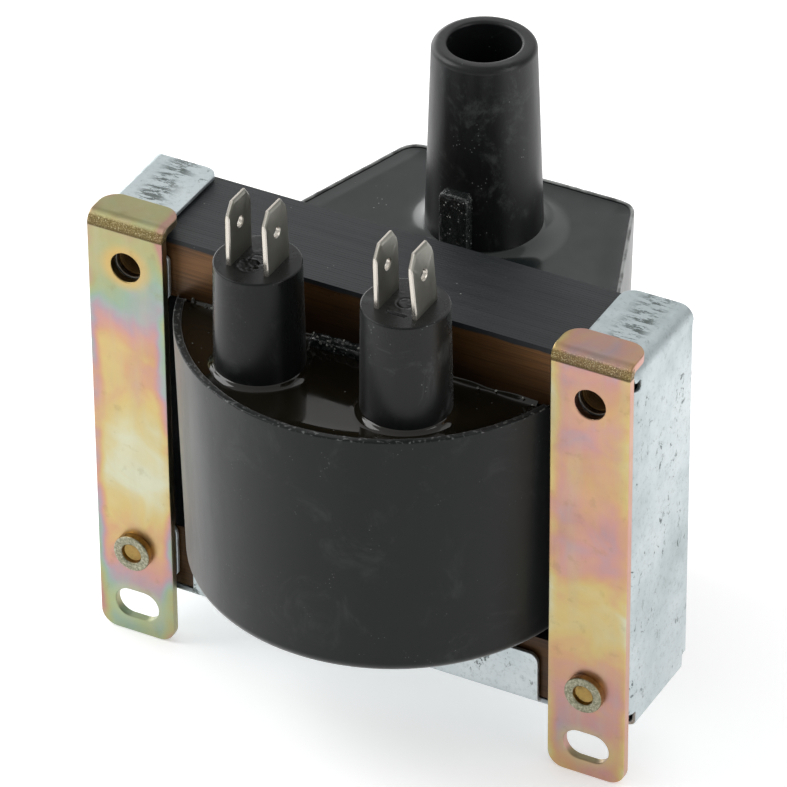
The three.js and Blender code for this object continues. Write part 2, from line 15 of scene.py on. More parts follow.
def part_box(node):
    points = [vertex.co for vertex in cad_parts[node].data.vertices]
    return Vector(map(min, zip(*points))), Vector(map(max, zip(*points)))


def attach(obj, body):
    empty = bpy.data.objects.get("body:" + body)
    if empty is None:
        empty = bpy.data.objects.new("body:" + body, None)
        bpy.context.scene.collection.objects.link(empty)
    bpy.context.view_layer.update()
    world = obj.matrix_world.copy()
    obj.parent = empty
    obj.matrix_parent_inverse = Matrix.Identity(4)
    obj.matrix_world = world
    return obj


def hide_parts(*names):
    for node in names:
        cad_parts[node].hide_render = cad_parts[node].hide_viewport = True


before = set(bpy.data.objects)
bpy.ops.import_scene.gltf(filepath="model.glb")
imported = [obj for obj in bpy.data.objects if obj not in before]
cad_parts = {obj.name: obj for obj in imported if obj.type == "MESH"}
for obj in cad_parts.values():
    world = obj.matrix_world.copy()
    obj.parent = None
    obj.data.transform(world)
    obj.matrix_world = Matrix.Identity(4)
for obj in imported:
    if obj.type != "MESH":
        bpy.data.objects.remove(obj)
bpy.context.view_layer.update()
MM = 0.001
BODY = "root"

# ---- places read from the CAD frame

core_low, core_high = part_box("core_i_stack")
e_low, e_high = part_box("core_e_stack")
frame_low, frame_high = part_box("core_frame")
cup_low, cup_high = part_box("housing_cup")
tower_low, tower_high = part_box("ht_tower")
bracket_low, bracket_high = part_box("right_bracket")
post_low, post_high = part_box("right_terminal_post")
rivet_low, rivet_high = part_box("right_rivet")

CORE_MID_Y = (core_low[1] + core_high[1]) / 2
RESIN_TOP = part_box("potting")[1][2]
HOLE_X = (bracket_low[0] + bracket_high[0]) / 2
POST_X = (post_low[0] + post_high[0]) / 2
POST_Y = (post_low[1] + post_high[1]) / 2
TOWER_RADIUS = (tower_high[0] - tower_low[0]) / 2
TOWER_Y = tower_high[1] - TOWER_RADIUS

# ---- driving dimensions

GAP = 0.3 * MM
LIP_CORNER = 2.9 * MM
TAB_BEND = 2.2 * MM
LEFT_TAB_BEND = 1.0 * MM
HOLE_Z = 65.5 * MM
RIVET_Z = 15.3 * MM
SLOT_Z = 5.1 * MM
HOLE_RADIUS = 2.4 * MM
SLOT_WIDTH = 7.3 * MM
SLOT_HEIGHT = 4.9 * MM
BRACKET_SHEET = 1.4 * MM
BRACKET_BEND = 2.0 * MM
FRAME_SHEET = 0.7 * MM
FRAME_BEND = 1.3 * MM
FLANGE_EAR_X = 31.2 * MM
FLANGE_WAIST_X = 35.4 * MM
WAIST_LOW_Z = 20.5 * MM
WAIST_HIGH_Z = 60.5 * MM
BOTTOM_FLANGE_HALF = 28.7 * MM
BOTTOM_FLANGE_HEIGHT = 9 * MM
TAB_TIP_X = 33 * MM
RELIEF_WIDTH = 2 * MM
RELIEF_TOP = 3.8 * MM
RELIEF_BOTTOM = 3 * MM
CORE_SHEETS = 34
CORE_LEG_X = 32 * MM
CORE_CENTRE_LEG_X = 9 * MM
CORE_LOWER_YOKE = 10.5 * MM
CUP_FRONT_RADIUS = 31.7 * MM
CUP_LEFT_TAPER = math.radians(17.4)
CUP_RIGHT_TAPER = math.radians(20.8)
CUP_RIM = 1.2 * MM
CUP_REAR_RIM = 0.6 * MM
CUP_REAR_DROP = 0.3 * MM
CUP_REAR_CORNER = 3.6 * MM
CUP_DRAFT = 0.024
CUP_WALL = 1.8 * MM
CUP_FILLET = 2.0 * MM
CUP_CENTRE_Y = cup_low[1] + CUP_FRONT_RADIUS
# Height above which the cup's rim is painted light, a painted highlight.
CUP_RIM_HIGHLIGHT_ABOVE = cup_high[2] - 0.6 * MM
RESIN_OVERLAP = 0.3 * MM
ROOT_DEPTH = 2 * MM
TOWER_TOP_RADIUS = 7.75 * MM
TOWER_BORE_RADIUS = 5.4 * MM
TOWER_BORE_FLOOR_Z = 66 * MM
TOWER_ROUNDING = 1.1 * MM
BLADE_WIDTH = 6.3 * MM
BLADE_SHEET = 0.8 * MM
BLADE_PITCH = 6.05 * MM
BLADE_LEANS = {"left": (0, math.radians(1.9)), "right": (math.radians(1.3), math.radians(5))}
BLADE_BEND_ABOVE_POST = 0.5 * MM

LIP_TOP = bracket_high[2] - GAP

# ---- outlines


def arc(cx, cy, radius, start, end, steps):
    """Points on an arc, ends included; angles in degrees."""
    points = []
    for i in range(steps + 1):
        a = math.radians(start + (end - start) * i / steps)
        points.append((cx + radius * math.cos(a), cy + radius * math.sin(a)))
    return points


def circle(cx, cy, radius, steps=48):
    """A hole's outline, clockwise."""
    return arc(cx, cy, radius, 360, 0, steps)[:-1]


def rounded(corners, steps=6):
    """Outline through (x, y, radius) corners, each rounded by its radius."""
    points = []
    for i, (x, y, radius) in enumerate(corners):
        if radius <= 0:
            points.append((x, y))
            continue
        here = Vector((x, y))
        to_before = (Vector(corners[i - 1][:2]) - here).normalized()
        to_after = (Vector(corners[(i + 1) % len(corners)][:2]) - here).normalized()
        half = to_before.angle(to_after) / 2
        reach = radius / math.tan(half)
        centre = here + (to_before + to_after).normalized() * radius / math.sin(half)
        first = here + to_before * reach - centre
        last = here + to_after * reach - centre
        turn = first.angle_signed(last)
        for k in range(steps + 1):
            swung = Matrix.Rotation(-turn * k / steps, 2) @ first
            points.append(tuple(centre + swung))
    return points


def offset(points, distance):
    """The outline moved to its left by a distance."""
    moved = []
    count = len(points)
    for i in range(count):
        before = Vector(points[i - 1])
        here = Vector(points[i])
        after = Vector(points[(i + 1) % count])
        a = (here - before).normalized()
        b = (after - here).normalized()
        normal_a = Vector((-a.y, a.x))
        normal_b = Vector((-b.y, b.x))
        both = normal_a + normal_b
        moved.append(tuple(here + both * distance / max(1 + normal_a.dot(normal_b), 0.3)))
    return moved


def between(start, end, count):
    """Points that divide a straight stretch into equal lengths, ends left out."""
    a, b = Vector(start), Vector(end)
    return [tuple(a.lerp(b, k / count)) for k in range(1, count)]


# ---- mesh building


def join_rings(bm, first, second):
    """Quads between two closed rings of equal length."""
    count = len(first)
    for i in range(count):
        j = (i + 1) % count
        bm.faces.new((first[i], first[j], second[j], second[i]))


def add_plate(bm, loops, low, high, edge, steps=3):
    """A flat plate between two heights. Outer loop anticlockwise, holes clockwise, edges rounded."""
    levels = []
    for k in range(steps + 1):
        a = math.pi / 2 * k / steps
        levels.append((edge * (1 - math.sin(a)), low + edge * (1 - math.cos(a))))
    levels += [(inset, high - (z - low)) for inset, z in reversed(levels)]
    ends = {0: [], len(levels) - 1: []}
    for loop in loops:
        rings = []
        for inset, z in levels:
            rings.append([bm.verts.new((x, y, z)) for x, y in offset(loop, inset)])
        for a, b in zip(rings, rings[1:]):
            join_rings(bm, a, b)
        for level in ends:
            ring = rings[level]
            for i, vert in enumerate(ring):
                ends[level].append(bm.edges.get((vert, ring[(i + 1) % len(ring)])))
    for edges in ends.values():
        bmesh.ops.triangle_fill(bm, edges=edges, use_beauty=True, use_dissolve=False)


def cut_along(bm, point, normal):
    """Adds edge lines where a plane crosses the mesh."""
    geometry = bm.verts[:] + bm.edges[:] + bm.faces[:]
    bmesh.ops.bisect_plane(bm, geom=geometry, plane_co=point, plane_no=normal, dist=1e-7)


def cut_at(bm, axis, places):
    """Adds edge lines across the mesh at places along an axis, so that it can bend there."""
    normal = Vector((0, 0, 0))
    normal[axis] = 1
    for place in places:
        cut_along(bm, normal * place, normal)


def add_lathe(bm, profile, centre, segments=96, along="Z"):
    """A turned solid from (radius, height) points, on the axis at both ends or closed on itself."""
    closed = profile[0][0] > 0
    turn = {"Z": Matrix.Identity(3), "-Y": Matrix.Rotation(math.pi / 2, 3, "X")}[along]
    rings = []
    for radius, height in profile:
        if radius == 0:
            rings.append([bm.verts.new(Vector(centre) + turn @ Vector((0, 0, height)))])
            continue
        ring = []
        for i in range(segments):
            a = 2 * math.pi * i / segments
            place = Vector((radius * math.cos(a), radius * math.sin(a), height))
            ring.append(bm.verts.new(Vector(centre) + turn @ place))
        rings.append(ring)
    pairs = list(zip(rings, rings[1:]))
    if closed:
        pairs.append((rings[-1], rings[0]))
    for a, b in pairs:
        if len(a) == 1 or len(b) == 1:
            point, ring = (a[0], b) if len(a) == 1 else (b[0], a)
            for i in range(segments):
                bm.faces.new((ring[i], ring[(i + 1) % segments], point))
        else:
            join_rings(bm, a, b)


def skin(bm, rings):
    """Joins rings one after another and closes both ends."""
    for a, b in zip(rings, rings[1:]):
        join_rings(bm, a, b)
    bm.faces.new(rings[0])
    bm.faces.new(rings[-1])


def to_mesh(name, bm):
    mesh = bpy.data.meshes.new(name)
    bm.to_mesh(mesh)
    bm.free()
    return mesh


def add_object(name, data):
    made = bpy.data.objects.new(name, data)
    bpy.context.scene.collection.objects.link(made)
    return made


def finish_piece(name, bm, material, replaced=(), crease=40, weighted=True):
    """Turns a bmesh into a piece that rides on the part."""
    bmesh.ops.recalc_face_normals(bm, faces=bm.faces[:])
    for face in bm.faces:
        face.smooth = True
    for line in bm.edges:
        line.smooth = line.calc_face_angle(0) < math.radians(crease)
    mesh = to_mesh(name, bm)
    piece = add_object(name, mesh)
    mesh.materials.append(material)
    if weighted:
        normals = piece.modifiers.new("even_normals", "WEIGHTED_NORMAL")
        normals.keep_sharp = True
        normals.weight = 100
    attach(piece, BODY)
    if replaced:
        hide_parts(*replaced)
    return piece


# ---- materials


def srgb(text):
    """Linear colour from a hex code."""
    channels = []
    for i in (0, 2, 4):
        value = int(text[i:i + 2], 16) / 255
        channels.append(value / 12.92 if value < 0.04045 else ((value + 0.055) / 1.055) ** 2.4)
    return (*channels, 1)


class Look:
    """A node material built up step by step round one Principled shader."""

    def __init__(self, name, **settings):
        self.material = bpy.data.materials.new(name)
        self.material.use_nodes = True
        self.tree = self.material.node_tree
        self.shader = self.tree.nodes["Principled BSDF"]
        for key, value in settings.items():
            socket = key.replace("_", " ").title().replace("Ior", "IOR")
            self.shader.inputs[socket].default_value = value
        self.place = self.node("ShaderNodeTexCoord").outputs["Object"]
        facing = self.node("ShaderNodeTexCoord").outputs["Normal"]
        self.nx, _, self.nz = self.node("ShaderNodeSeparateXYZ", Vector=facing).outputs
        self.x, self.y, self.z = self.node("ShaderNodeSeparateXYZ", Vector=self.place).outputs

    def node(self, kind, _setup=None, **inputs):
        made = self.tree.nodes.new(kind)
        for key, value in (_setup or {}).items():
            setattr(made, key, value)
        for key, value in inputs.items():
            self.feed(made.inputs[key.replace("_", " ")], value)
        return made

    def feed(self, socket, value):
        """Links a node's output, or sets a number or a colour; colours may be hex codes."""
        if isinstance(value, bpy.types.NodeSocket):
            self.tree.links.new(value, socket)
        else:
            socket.default_value = srgb(value) if isinstance(value, str) else value

    def stretched(self, x, y, z, shift=(0, 0, 0)):
        """The place, scaled differently along each axis."""
        made = self.node("ShaderNodeMapping", Vector=self.place, Scale=(x, y, z), Location=shift)
        return made.outputs[0]

    def noise(self, scale, detail=3, rough=0.5, place=None, warp=0.0):
        made = self.node("ShaderNodeTexNoise", Vector=place or self.place, Scale=scale, Detail=detail)
        self.feed(made.inputs["Roughness"], rough)
        self.feed(made.inputs["Distortion"], warp)
        return made.outputs["Fac"]

    def streaks(self, detail, rough, x, y, z, shift=(0, 0, 0)):
        """Noise at its own scale along each axis."""
        return self.noise(1.0, detail, rough, self.stretched(x, y, z, shift))

    def cells(self, scale):
        return self.node("ShaderNodeTexVoronoi", Vector=self.place, Scale=scale).outputs["Distance"]

    def specks(self, scale, size, spread, amount):
        """Small round specks that gather in clouds."""
        dots = self.span(self.cells(scale), size, size * 0.5)
        return self.times(dots, self.span(self.noise(spread, 2), amount, amount + 0.1))

    def ramp(self, factor, stops):
        """Colour or value from (position, hex code or number) pairs."""
        made = self.node("ShaderNodeValToRGB", Fac=factor)
        elements = made.color_ramp.elements
        while len(elements) < len(stops):
            elements.new(0.5)
        for element, (position, colour) in zip(elements, stops):
            element.position = position
            element.color = srgb(colour) if isinstance(colour, str) else (colour, colour, colour, 1)
        return made.outputs["Color"]

    def span(self, value, low, high, out_low=0.0, out_high=1.0):
        made = self.node("ShaderNodeMapRange", {"interpolation_type": "SMOOTHSTEP"}, Value=value)
        for index, limit in enumerate((low, high, out_low, out_high), start=1):
            made.inputs[index].default_value = limit
        return made.outputs[0]

    def math(self, operation, a, b=0.0):
        made = self.node("ShaderNodeMath", {"operation": operation})
        self.feed(made.inputs[0], a)
        self.feed(made.inputs[1], b)
        return made.outputs[0]

    def times(self, a, b):
        return self.math("MULTIPLY", a, b)

    def plus(self, a, b):
        return self.math("ADD", a, b)

    def minus(self, a, b):
        return self.math("SUBTRACT", a, b)

    def size(self, a):
        return self.math("ABSOLUTE", a)

    def reach(self, across, z):
        """Distance from a place, given how far it is across X and at what height."""
        up = self.minus(self.z, z)
        return self.math("SQRT", self.plus(self.times(across, across), self.times(up, up)))

    def away(self, x, z, width=1.0):
        """Distance across X and Z from a place, with X divided by a width."""
        return self.reach(self.math("DIVIDE", self.minus(self.x, x), width), z)

    def in_upper_holes(self):
        """1 inside the two crosswise upper holes."""
        across = self.minus(self.size(self.x), HOLE_X)
        return self.span(self.reach(across, HOLE_Z), 2.55 * MM, 2.45 * MM)

    def mix(self, factor, a, b):
        made = self.node("ShaderNodeMix", {"data_type": "RGBA"})
        self.feed(made.inputs[0], factor)
        self.feed(made.inputs[6], a)
        self.feed(made.inputs[7], b)
        return made.outputs[2]

    def coat(self, colour, mask, share, paint):
        """Paint laid over a colour where the mask is 1, hiding a share of it."""
        return self.mix(self.times(mask, share), colour, paint)

    def bump(self, height, depth, strength=1.0, under=None):
        """Relief of a depth in metres where the height runs from 0 to 1."""
        made = self.node("ShaderNodeBump", Height=height, Distance=depth, Strength=strength)
        if under is not None:
            self.feed(made.inputs["Normal"], under)
        return made.outputs[0]

    def finish(self, colour=None, roughness=None, normal=None, metallic=None):
        sockets = {"Base Color": colour, "Roughness": roughness, "Normal": normal, "Metallic": metallic}
        for key, value in sockets.items():
            if value is not None:
                self.feed(self.shader.inputs[key], value)
        return self.material


def black_plastic(name, base, rough, grain, dust=0.6, gloss=0.3, film=0.0, rim_highlight_above=None):
    """Satin black moulding with fine grain, faint smears, a few light specks and a film of fine dust,
    and where asked a painted highlight along the top of the rim.
    """
    look = Look(name, specular_ior_level=gloss, sheen_weight=film, sheen_roughness=0.35)
    cloud = look.noise(60, 4, 0.6)
    smear = look.streaks(5, 0.65, 160, 160, 28)
    speck = look.times(look.specks(1500, 0.16, 240, 0.57), dust)
    haze = look.times(look.span(look.noise(110, 6, 0.75, None, 0.8), 0.52, 0.72), 0.14 * dust)
    lighter = (*(c * 1.8 + 0.002 for c in srgb(base)[:3]), 1)
    colour = look.mix(cloud, base, lighter)
    colour = look.mix(haze, colour, "8d9290")
    colour = look.coat(colour, speck, 0.7, "8d9290")
    # Painted highlight: a light line along the rear rim and light flecks round the whole rim.
    if rim_highlight_above:
        behind = look.span(look.y, CORE_MID_Y, CORE_MID_Y + 1 * MM)
        worn = look.times(look.span(look.z, rim_highlight_above, rim_highlight_above + 0.12 * MM), behind)
        worn = look.times(worn, look.span(look.noise(500, 3), 0.35, 0.6, 0.35, 1))
        highlight_flecks = look.span(look.z, rim_highlight_above + 0.3 * MM, rim_highlight_above + 0.42 * MM)
        highlight_flecks = look.times(highlight_flecks, look.span(look.noise(1800, 3), 0.54, 0.68, 0, 0.35))
        colour = look.mix(look.math("MAXIMUM", worn, highlight_flecks), colour, "9a9d9b")
    roughness = look.span(smear, 0.3, 0.75, rough - 0.07, rough + 0.09)
    roughness = look.plus(look.plus(roughness, look.times(haze, 0.9)), look.times(speck, 0.25))
    normal = look.bump(look.noise(2600, 3, 0.6), grain)
    normal = look.bump(look.noise(45, 2), 0.05 * MM, 0.6, normal)
    return look.finish(colour, roughness, normal)


def sparkling_flash():
    """Rough torn plastic whose small facets sparkle, helped by painted glints."""
    look = Look("sparkling_flash", specular_ior_level=0.6)
    grain = look.noise(1500, 4, 0.7)
    # Painted glints: light spots in the colour stand in for sparkling facets.
    glint = look.times(look.span(look.cells(1900), 0.3, 0.12), look.span(look.noise(600, 2), 0.45, 0.6))
    colour = look.mix(glint, look.mix(grain, "0c0e0e", "262a2a"), "b4b8b4")
    normal = look.bump(grain, 0.14 * MM)
    return look.finish(colour, look.span(grain, 0.3, 0.7, 0.14, 0.34), normal)


def cast_resin():
    """Glossy black resin with slow ripples, dust and a brown tinge where it is thin."""
    look = Look("potting_resin", specular_ior_level=0.5)
    tinge = look.noise(45, 3)
    colour = look.mix(tinge, "090a08", "211d13")
    behind = look.span(look.y, CORE_MID_Y - 1 * MM, CORE_MID_Y + 1 * MM)
    colour = look.mix(behind, colour, look.mix(tinge, "101616", "1c2222"))
    speck = look.specks(900, 0.13, 120, 0.58)
    colour = look.coat(colour, speck, 0.7, "77786f")
    haze = look.plus(look.span(look.noise(260, 4), 0.35, 0.8, 0.05, 0.14), look.times(behind, 0.07))
    normal = look.bump(look.noise(70, 2), 0.16 * MM, 0.6)
    normal = look.bump(speck, 0.03 * MM, 1.0, normal)
    return look.finish(colour, look.plus(haze, look.times(speck, 0.4)), normal)


# Colours of the passivation from a thin film to a thick one.
FILM = [
    (0.00, "c2c3aa"), (0.10, "c2b88e"), (0.20, "c3ae76"), (0.30, "c29b76"),
    (0.40, "bc8f87"), (0.48, "a99199"), (0.56, "989f9e"), (0.64, "90a492"),
    (0.74, "9ca681"), (0.84, "a5a175"), (0.94, "ab9479"), (1.00, "af877d"),
]
# Film thickness, from 0 to 1, by height in mm.
LEFT_HEIGHTS = [
    (2, 0.70), (8, 0.56), (12, 0.38), (17, 0.30), (22, 0.16), (28, 0.04), (38, 0.10),
    (47, 0.20), (52, 0.30), (54.5, 0.44), (57.5, 0.60), (61, 0.76), (66, 0.80), (72, 0.84),
]
RIGHT_HEIGHTS = [
    (2, 0.34), (7, 0.42), (12, 0.41), (19, 0.33), (24, 0.22), (32, 0.21), (36, 0.34),
    (42, 0.41), (48, 0.37), (54, 0.32), (60, 0.36), (66, 0.33), (72, 0.38),
]
# Shifts of the noise, so that the two brackets don't repeat each other.
LEFT_SHIFT = (0.3, 0.1, 0.7)
RIGHT_SHIFT = (1.9, 0.6, 0.2)


def yellow_zinc(name, hole_x, by_height, cut_colour, halo, edge_change, shift):
    """Yellow passivation whose colour follows the thickness of its film.

    The film is thinnest in the middle of the strip and grows towards the strip's edges; how thick it
    is at each height comes from (height in mm, thickness from 0 to 1) pairs.
    """
    look = Look(name, metallic=1.0)
    shifted = look.stretched(1, 1, 1, shift)
    wander = look.minus(look.noise(52, 3, 0.45, look.stretched(1, 1, 0.75, shift), 0.5), 0.5)
    height = look.plus(look.z, look.times(wander, 22 * MM))
    top = bracket_high[2]
    stops = [(z * MM / top, depth) for z, depth in by_height]
    film = look.ramp(look.math("DIVIDE", height, top), stops)
    from_middle = look.size(look.minus(look.x, hole_x))
    from_middle = look.plus(from_middle, look.times(wander, 5 * MM))
    edge = look.span(from_middle, 4.3 * MM, 6.4 * MM, 0, edge_change)
    ragged = look.noise(75, 3, 0.5, shifted)
    edge = look.times(edge, look.span(ragged, 0.36, 0.56, 0.25, 1))
    film = look.plus(look.plus(film, edge), look.times(wander, 0.25))
    patch = look.minus(look.noise(150, 3, 0.5, shifted, 0.6), 0.5)
    film = look.plus(film, look.times(patch, 0.42))
    near_hole = look.span(look.away(hole_x, HOLE_Z, 1.1), 4.6 * MM, 2.4 * MM)
    near_slot = look.span(look.away(hole_x, SLOT_Z, 1.4), 4.4 * MM, 2.6 * MM)
    colour = look.ramp(film, FILM)
    colour = look.coat(colour, near_hole, halo, "c9a564")
    colour = look.coat(colour, near_slot, 0.35, "b9bd80")
    haze = look.streaks(4, 0.6, 420, 420, 60, shift)
    colour = look.mix(look.span(haze, 0.4, 0.8, 0.0, 0.4), colour, "b3a98f")
    colour = look.coat(colour, look.span(look.noise(420, 4, 0.6), 0.58, 0.72), 0.22, "8c7a55")
    # Painted shade: faces that point up, such as the lip's top, are darkened.
    colour = look.coat(colour, look.span(look.nz, 0.3, 0.9), 0.3, "5c5638")
    # Cut edges are duller, and the walls of the holes are painted dark, a painted shade.
    cut = look.span(look.size(look.nx), 0.6, 0.9)
    colour = look.coat(colour, cut, 0.7, cut_colour)
    colour = look.coat(colour, look.span(look.away(hole_x, HOLE_Z), 2.5 * MM, 2.3 * MM), 0.75, "3d2f1a")
    # The plating is crazed and dark where the strip is folded, with painted glints in the crazing.
    fold_start = LIP_TOP - BRACKET_BEND
    height = look.plus(look.z, look.times(wander, 0.8 * MM))
    below_top = look.span(height, LIP_TOP - 0.25 * MM, LIP_TOP - 0.8 * MM)
    fold = look.times(look.span(look.z, fold_start - 0.2 * MM, fold_start + 0.1 * MM), below_top)
    fold = look.times(fold, look.span(look.y, bracket_low[1] + 1.6 * MM, bracket_low[1] + 1.2 * MM))
    craze = look.noise(5200, 3, 0.8)
    sparkle = look.ramp(craze, [(0.4, "6a5835"), (0.54, "8b7848"), (0.66, "d2c8a4")])
    colour = look.coat(colour, fold, 0.85, sparkle)
    # Painted shade along the fold's lower crease.
    crease = look.times(fold, look.span(look.z, fold_start + 0.6 * MM, fold_start))
    colour = look.coat(colour, crease, 0.6, "4a3a1c")
    scratch = look.streaks(3, 0.7, 2600, 2600, 70, shift)
    roughness = look.span(look.noise(170, 4, 0.6), 0.3, 0.75, 0.3, 0.46)
    normal = look.bump(scratch, 0.005 * MM)
    normal = look.bump(look.noise(90, 2), 0.05 * MM, 0.5, normal)
    normal = look.bump(look.times(craze, fold), 0.18 * MM, 1.0, normal)
    return look.finish(colour, look.plus(roughness, look.times(fold, 0.12)), normal)


def white_zinc():
    """Blue-white zinc with fine pits and grey speckle, and dark scuffs beside the folded tabs; painted
    shade darkens the tab tops and the walls of the upper holes.
    """
    look = Look("white_zinc", metallic=0.9)
    colour = look.ramp(look.noise(48, 4, 0.6), [(0.32, "b0babc"), (0.5, "c2cbce"), (0.7, "d3dadc")])
    grain = look.noise(1500, 4, 0.75)
    colour = look.mix(look.span(grain, 0.5, 0.7, 0.0, 0.4), colour, "87918f")
    pit = look.span(look.noise(1.0, 5, 0.7, look.stretched(620, 620, 400), 0.6), 0.59, 0.63)
    pit = look.times(pit, look.span(look.noise(170, 3), 0.42, 0.6))
    colour = look.coat(colour, pit, 0.85, "505a58")
    on_tab = look.span(look.nz, 0.4, 0.95)
    # Painted shade: the tab tops, facing up, are darker than the sides.
    colour = look.coat(colour, on_tab, 0.35, "8a9698")
    band = look.span(look.size(look.x), 41.8 * MM, 39.4 * MM)
    band = look.times(band, look.span(look.size(look.x), 34.6 * MM, 38 * MM))
    strokes = look.streaks(6, 0.78, 230, 900, 200)
    scuff = look.times(look.times(on_tab, band), look.span(strokes, 0.46, 0.54))
    colour = look.coat(colour, scuff, 0.85, "414a46")
    # Painted shade: the walls of the upper holes are painted dark brown.
    colour = look.coat(colour, look.in_upper_holes(), 0.85, "5a4526")
    roughness = look.span(look.noise(400, 4, 0.6), 0.3, 0.75, 0.34, 0.56)
    normal = look.bump(grain, 0.018 * MM)
    normal = look.bump(look.minus(1.0, pit), 0.05 * MM, 0.8, normal)
    normal = look.bump(look.noise(60, 2), 0.08 * MM, 0.5, normal)
    return look.finish(colour, roughness, normal)


def core_steel():
    """Pressed sheets: satin black on the edges of the stack, brown varnish on its two outer faces."""
    look = Look("core_steel", specular_ior_level=0.3)
    half_stack = (core_high[1] - core_low[1]) / 2
    from_middle = look.size(look.minus(look.y, CORE_MID_Y))
    outer = look.span(from_middle, half_stack - 0.14 * MM, half_stack - 0.08 * MM)
    run_down = look.plus(look.z, look.times(look.noise(240, 3), 0.6 * MM))
    outer = look.times(outer, look.span(run_down, core_high[2] - 0.4 * MM, core_high[2] - 0.75 * MM))
    streak = look.streaks(4, 0.6, 70, 90, 170)
    fine = look.streaks(3, 0.6, 50, 900, 3600)
    wide = look.noise(30, 2, 0.5, look.stretched(1, 1, 1.6, (0.1, 0, 0.4)))
    # Painted reflection: the varnish is made lighter towards both ends of the core; the noise under it
    # is its own mottling.
    lit = look.plus(look.times(streak, 0.3), look.times(wide, 0.7))
    left_light = look.span(look.x, -8 * MM, -26 * MM, 0, 0.2)
    right_light = look.span(look.x, 8 * MM, 30 * MM, 0, 0.1)
    lit = look.plus(lit, look.plus(left_light, right_light))
    varnish = look.ramp(lit, [(0.34, "1f150b"), (0.46, "3c2a19"), (0.6, "644527"), (0.74, "7d5834")])
    varnish = look.mix(look.span(fine, 0.4, 0.7, 0.0, 0.5), varnish, "20160d")
    # Painted shade: the varnish darkens towards the bottom of the yoke, near the resin.
    painted_low_shade = look.span(run_down, core_low[2] + 6 * MM, core_low[2] + 1 * MM, 0, 0.6)
    varnish = look.mix(painted_low_shade, varnish, "150e08")
    paint = look.mix(look.streaks(4, 0.6, 30, 900, 300), "15171a", "24282a")
    paint = look.mix(look.specks(800, 0.12, 140, 0.6), paint, "a9aca8")
    colour = look.mix(outer, paint, varnish)
    colour = look.coat(colour, look.in_upper_holes(), 0.85, "7d6238")
    paint_rough = look.span(fine, 0.3, 0.8, 0.36, 0.5)
    roughness = look.mix(outer, paint_rough, look.span(streak, 0.2, 0.8, 0.26, 0.4))
    normal = look.bump(fine, 0.012 * MM)
    normal = look.bump(look.streaks(3, 0.6, 30, 1600, 300), 0.012 * MM, 0.6, normal)
    metallic = look.times(outer, look.span(streak, 0.3, 0.8, 0.2, 0.55))
    return look.finish(colour, roughness, normal, metallic)


def rivet_metal():
    """Bronze-gold passivated rivet whose ring face is worn to a granular grey."""
    look = Look("rivet_metal", metallic=1.0)
    patch = look.noise(420, 3, 0.6)
    gold = look.ramp(patch, [(0.3, "6f5a34"), (0.5, "a58a52"), (0.7, "8f6f42")])
    grain = look.noise(2600, 3, 0.7)
    worn = look.ramp(grain, [(0.35, "747563"), (0.5, "918f79"), (0.65, "b3b19d")])
    in_front = look.span(look.y, rivet_low[1] + 0.3 * MM, rivet_low[1] + 0.05 * MM)
    colour = look.mix(in_front, gold, worn)
    roughness = look.span(patch, 0.3, 0.7, 0.26, 0.42)
    normal = look.bump(look.times(grain, look.plus(in_front, 0.15)), 0.03 * MM)
    return look.finish(colour, look.plus(roughness, look.times(in_front, 0.12)), normal)


def blade_tin():
    """Smooth dull tin plate; the sheared edges are painted pale, partly their own warmer cast and partly
    a painted highlight.
    """
    look = Look("blade_tin", metallic=0.85)
    cloud = look.noise(150, 2)
    colour = look.ramp(cloud, [(0.3, "7d7c75"), (0.5, "8b8a82"), (0.7, "9a9890")])
    # Painted highlight: the sheared edges are lightened, partly their own warmer cast.
    cut = look.span(look.size(look.nx), 0.85, 0.6)
    colour = look.coat(colour, cut, 0.8, "ddd6cc")
    brush = look.streaks(3, 0.6, 300, 900, 160)
    roughness = look.plus(look.span(brush, 0.3, 0.75, 0.3, 0.4), look.times(cut, -0.12))
    normal = look.bump(brush, 0.0015 * MM)
    normal = look.bump(look.noise(180, 2), 0.03 * MM, 0.4, normal)
    return look.finish(colour, roughness, normal)


def plain_metal(name, dark, light, scale, rough):
    """Hidden metal pieces: mottled, with a fine winding or turning texture."""
    look = Look(name, metallic=1.0)
    colour = look.mix(look.noise(scale, 3), dark, light)
    turns = look.streaks(2, 0.5, 40, 40, 3200)
    roughness = look.span(turns, 0.3, 0.7, rough - 0.06, rough + 0.08)
    return look.finish(colour, roughness, look.bump(turns, 0.05 * MM))


def plain_board(name, dark, light, scale, rough):
    """Hidden insulating pieces: mottled board or natural plastic."""
    look = Look(name)
    fibre = look.noise(scale, 4, 0.65)
    colour = look.mix(fibre, dark, light)
    roughness = look.span(fibre, 0.3, 0.7, rough - 0.08, rough + 0.08)
    return look.finish(colour, roughness, look.bump(fibre, 0.03 * MM))


def rough_crumb():
    """Pale flash crumbs left where the resin met the core."""
    look = Look("flash_crumb", specular_ior_level=0.4)
    patch = look.noise(1800, 3)
    colour = look.mix(look.span(patch, 0.35, 0.65), "3a3c3a", "a9aba4")
    return look.finish(colour, look.span(patch, 0.3, 0.7, 0.35, 0.6), look.bump(patch, 0.05 * MM))


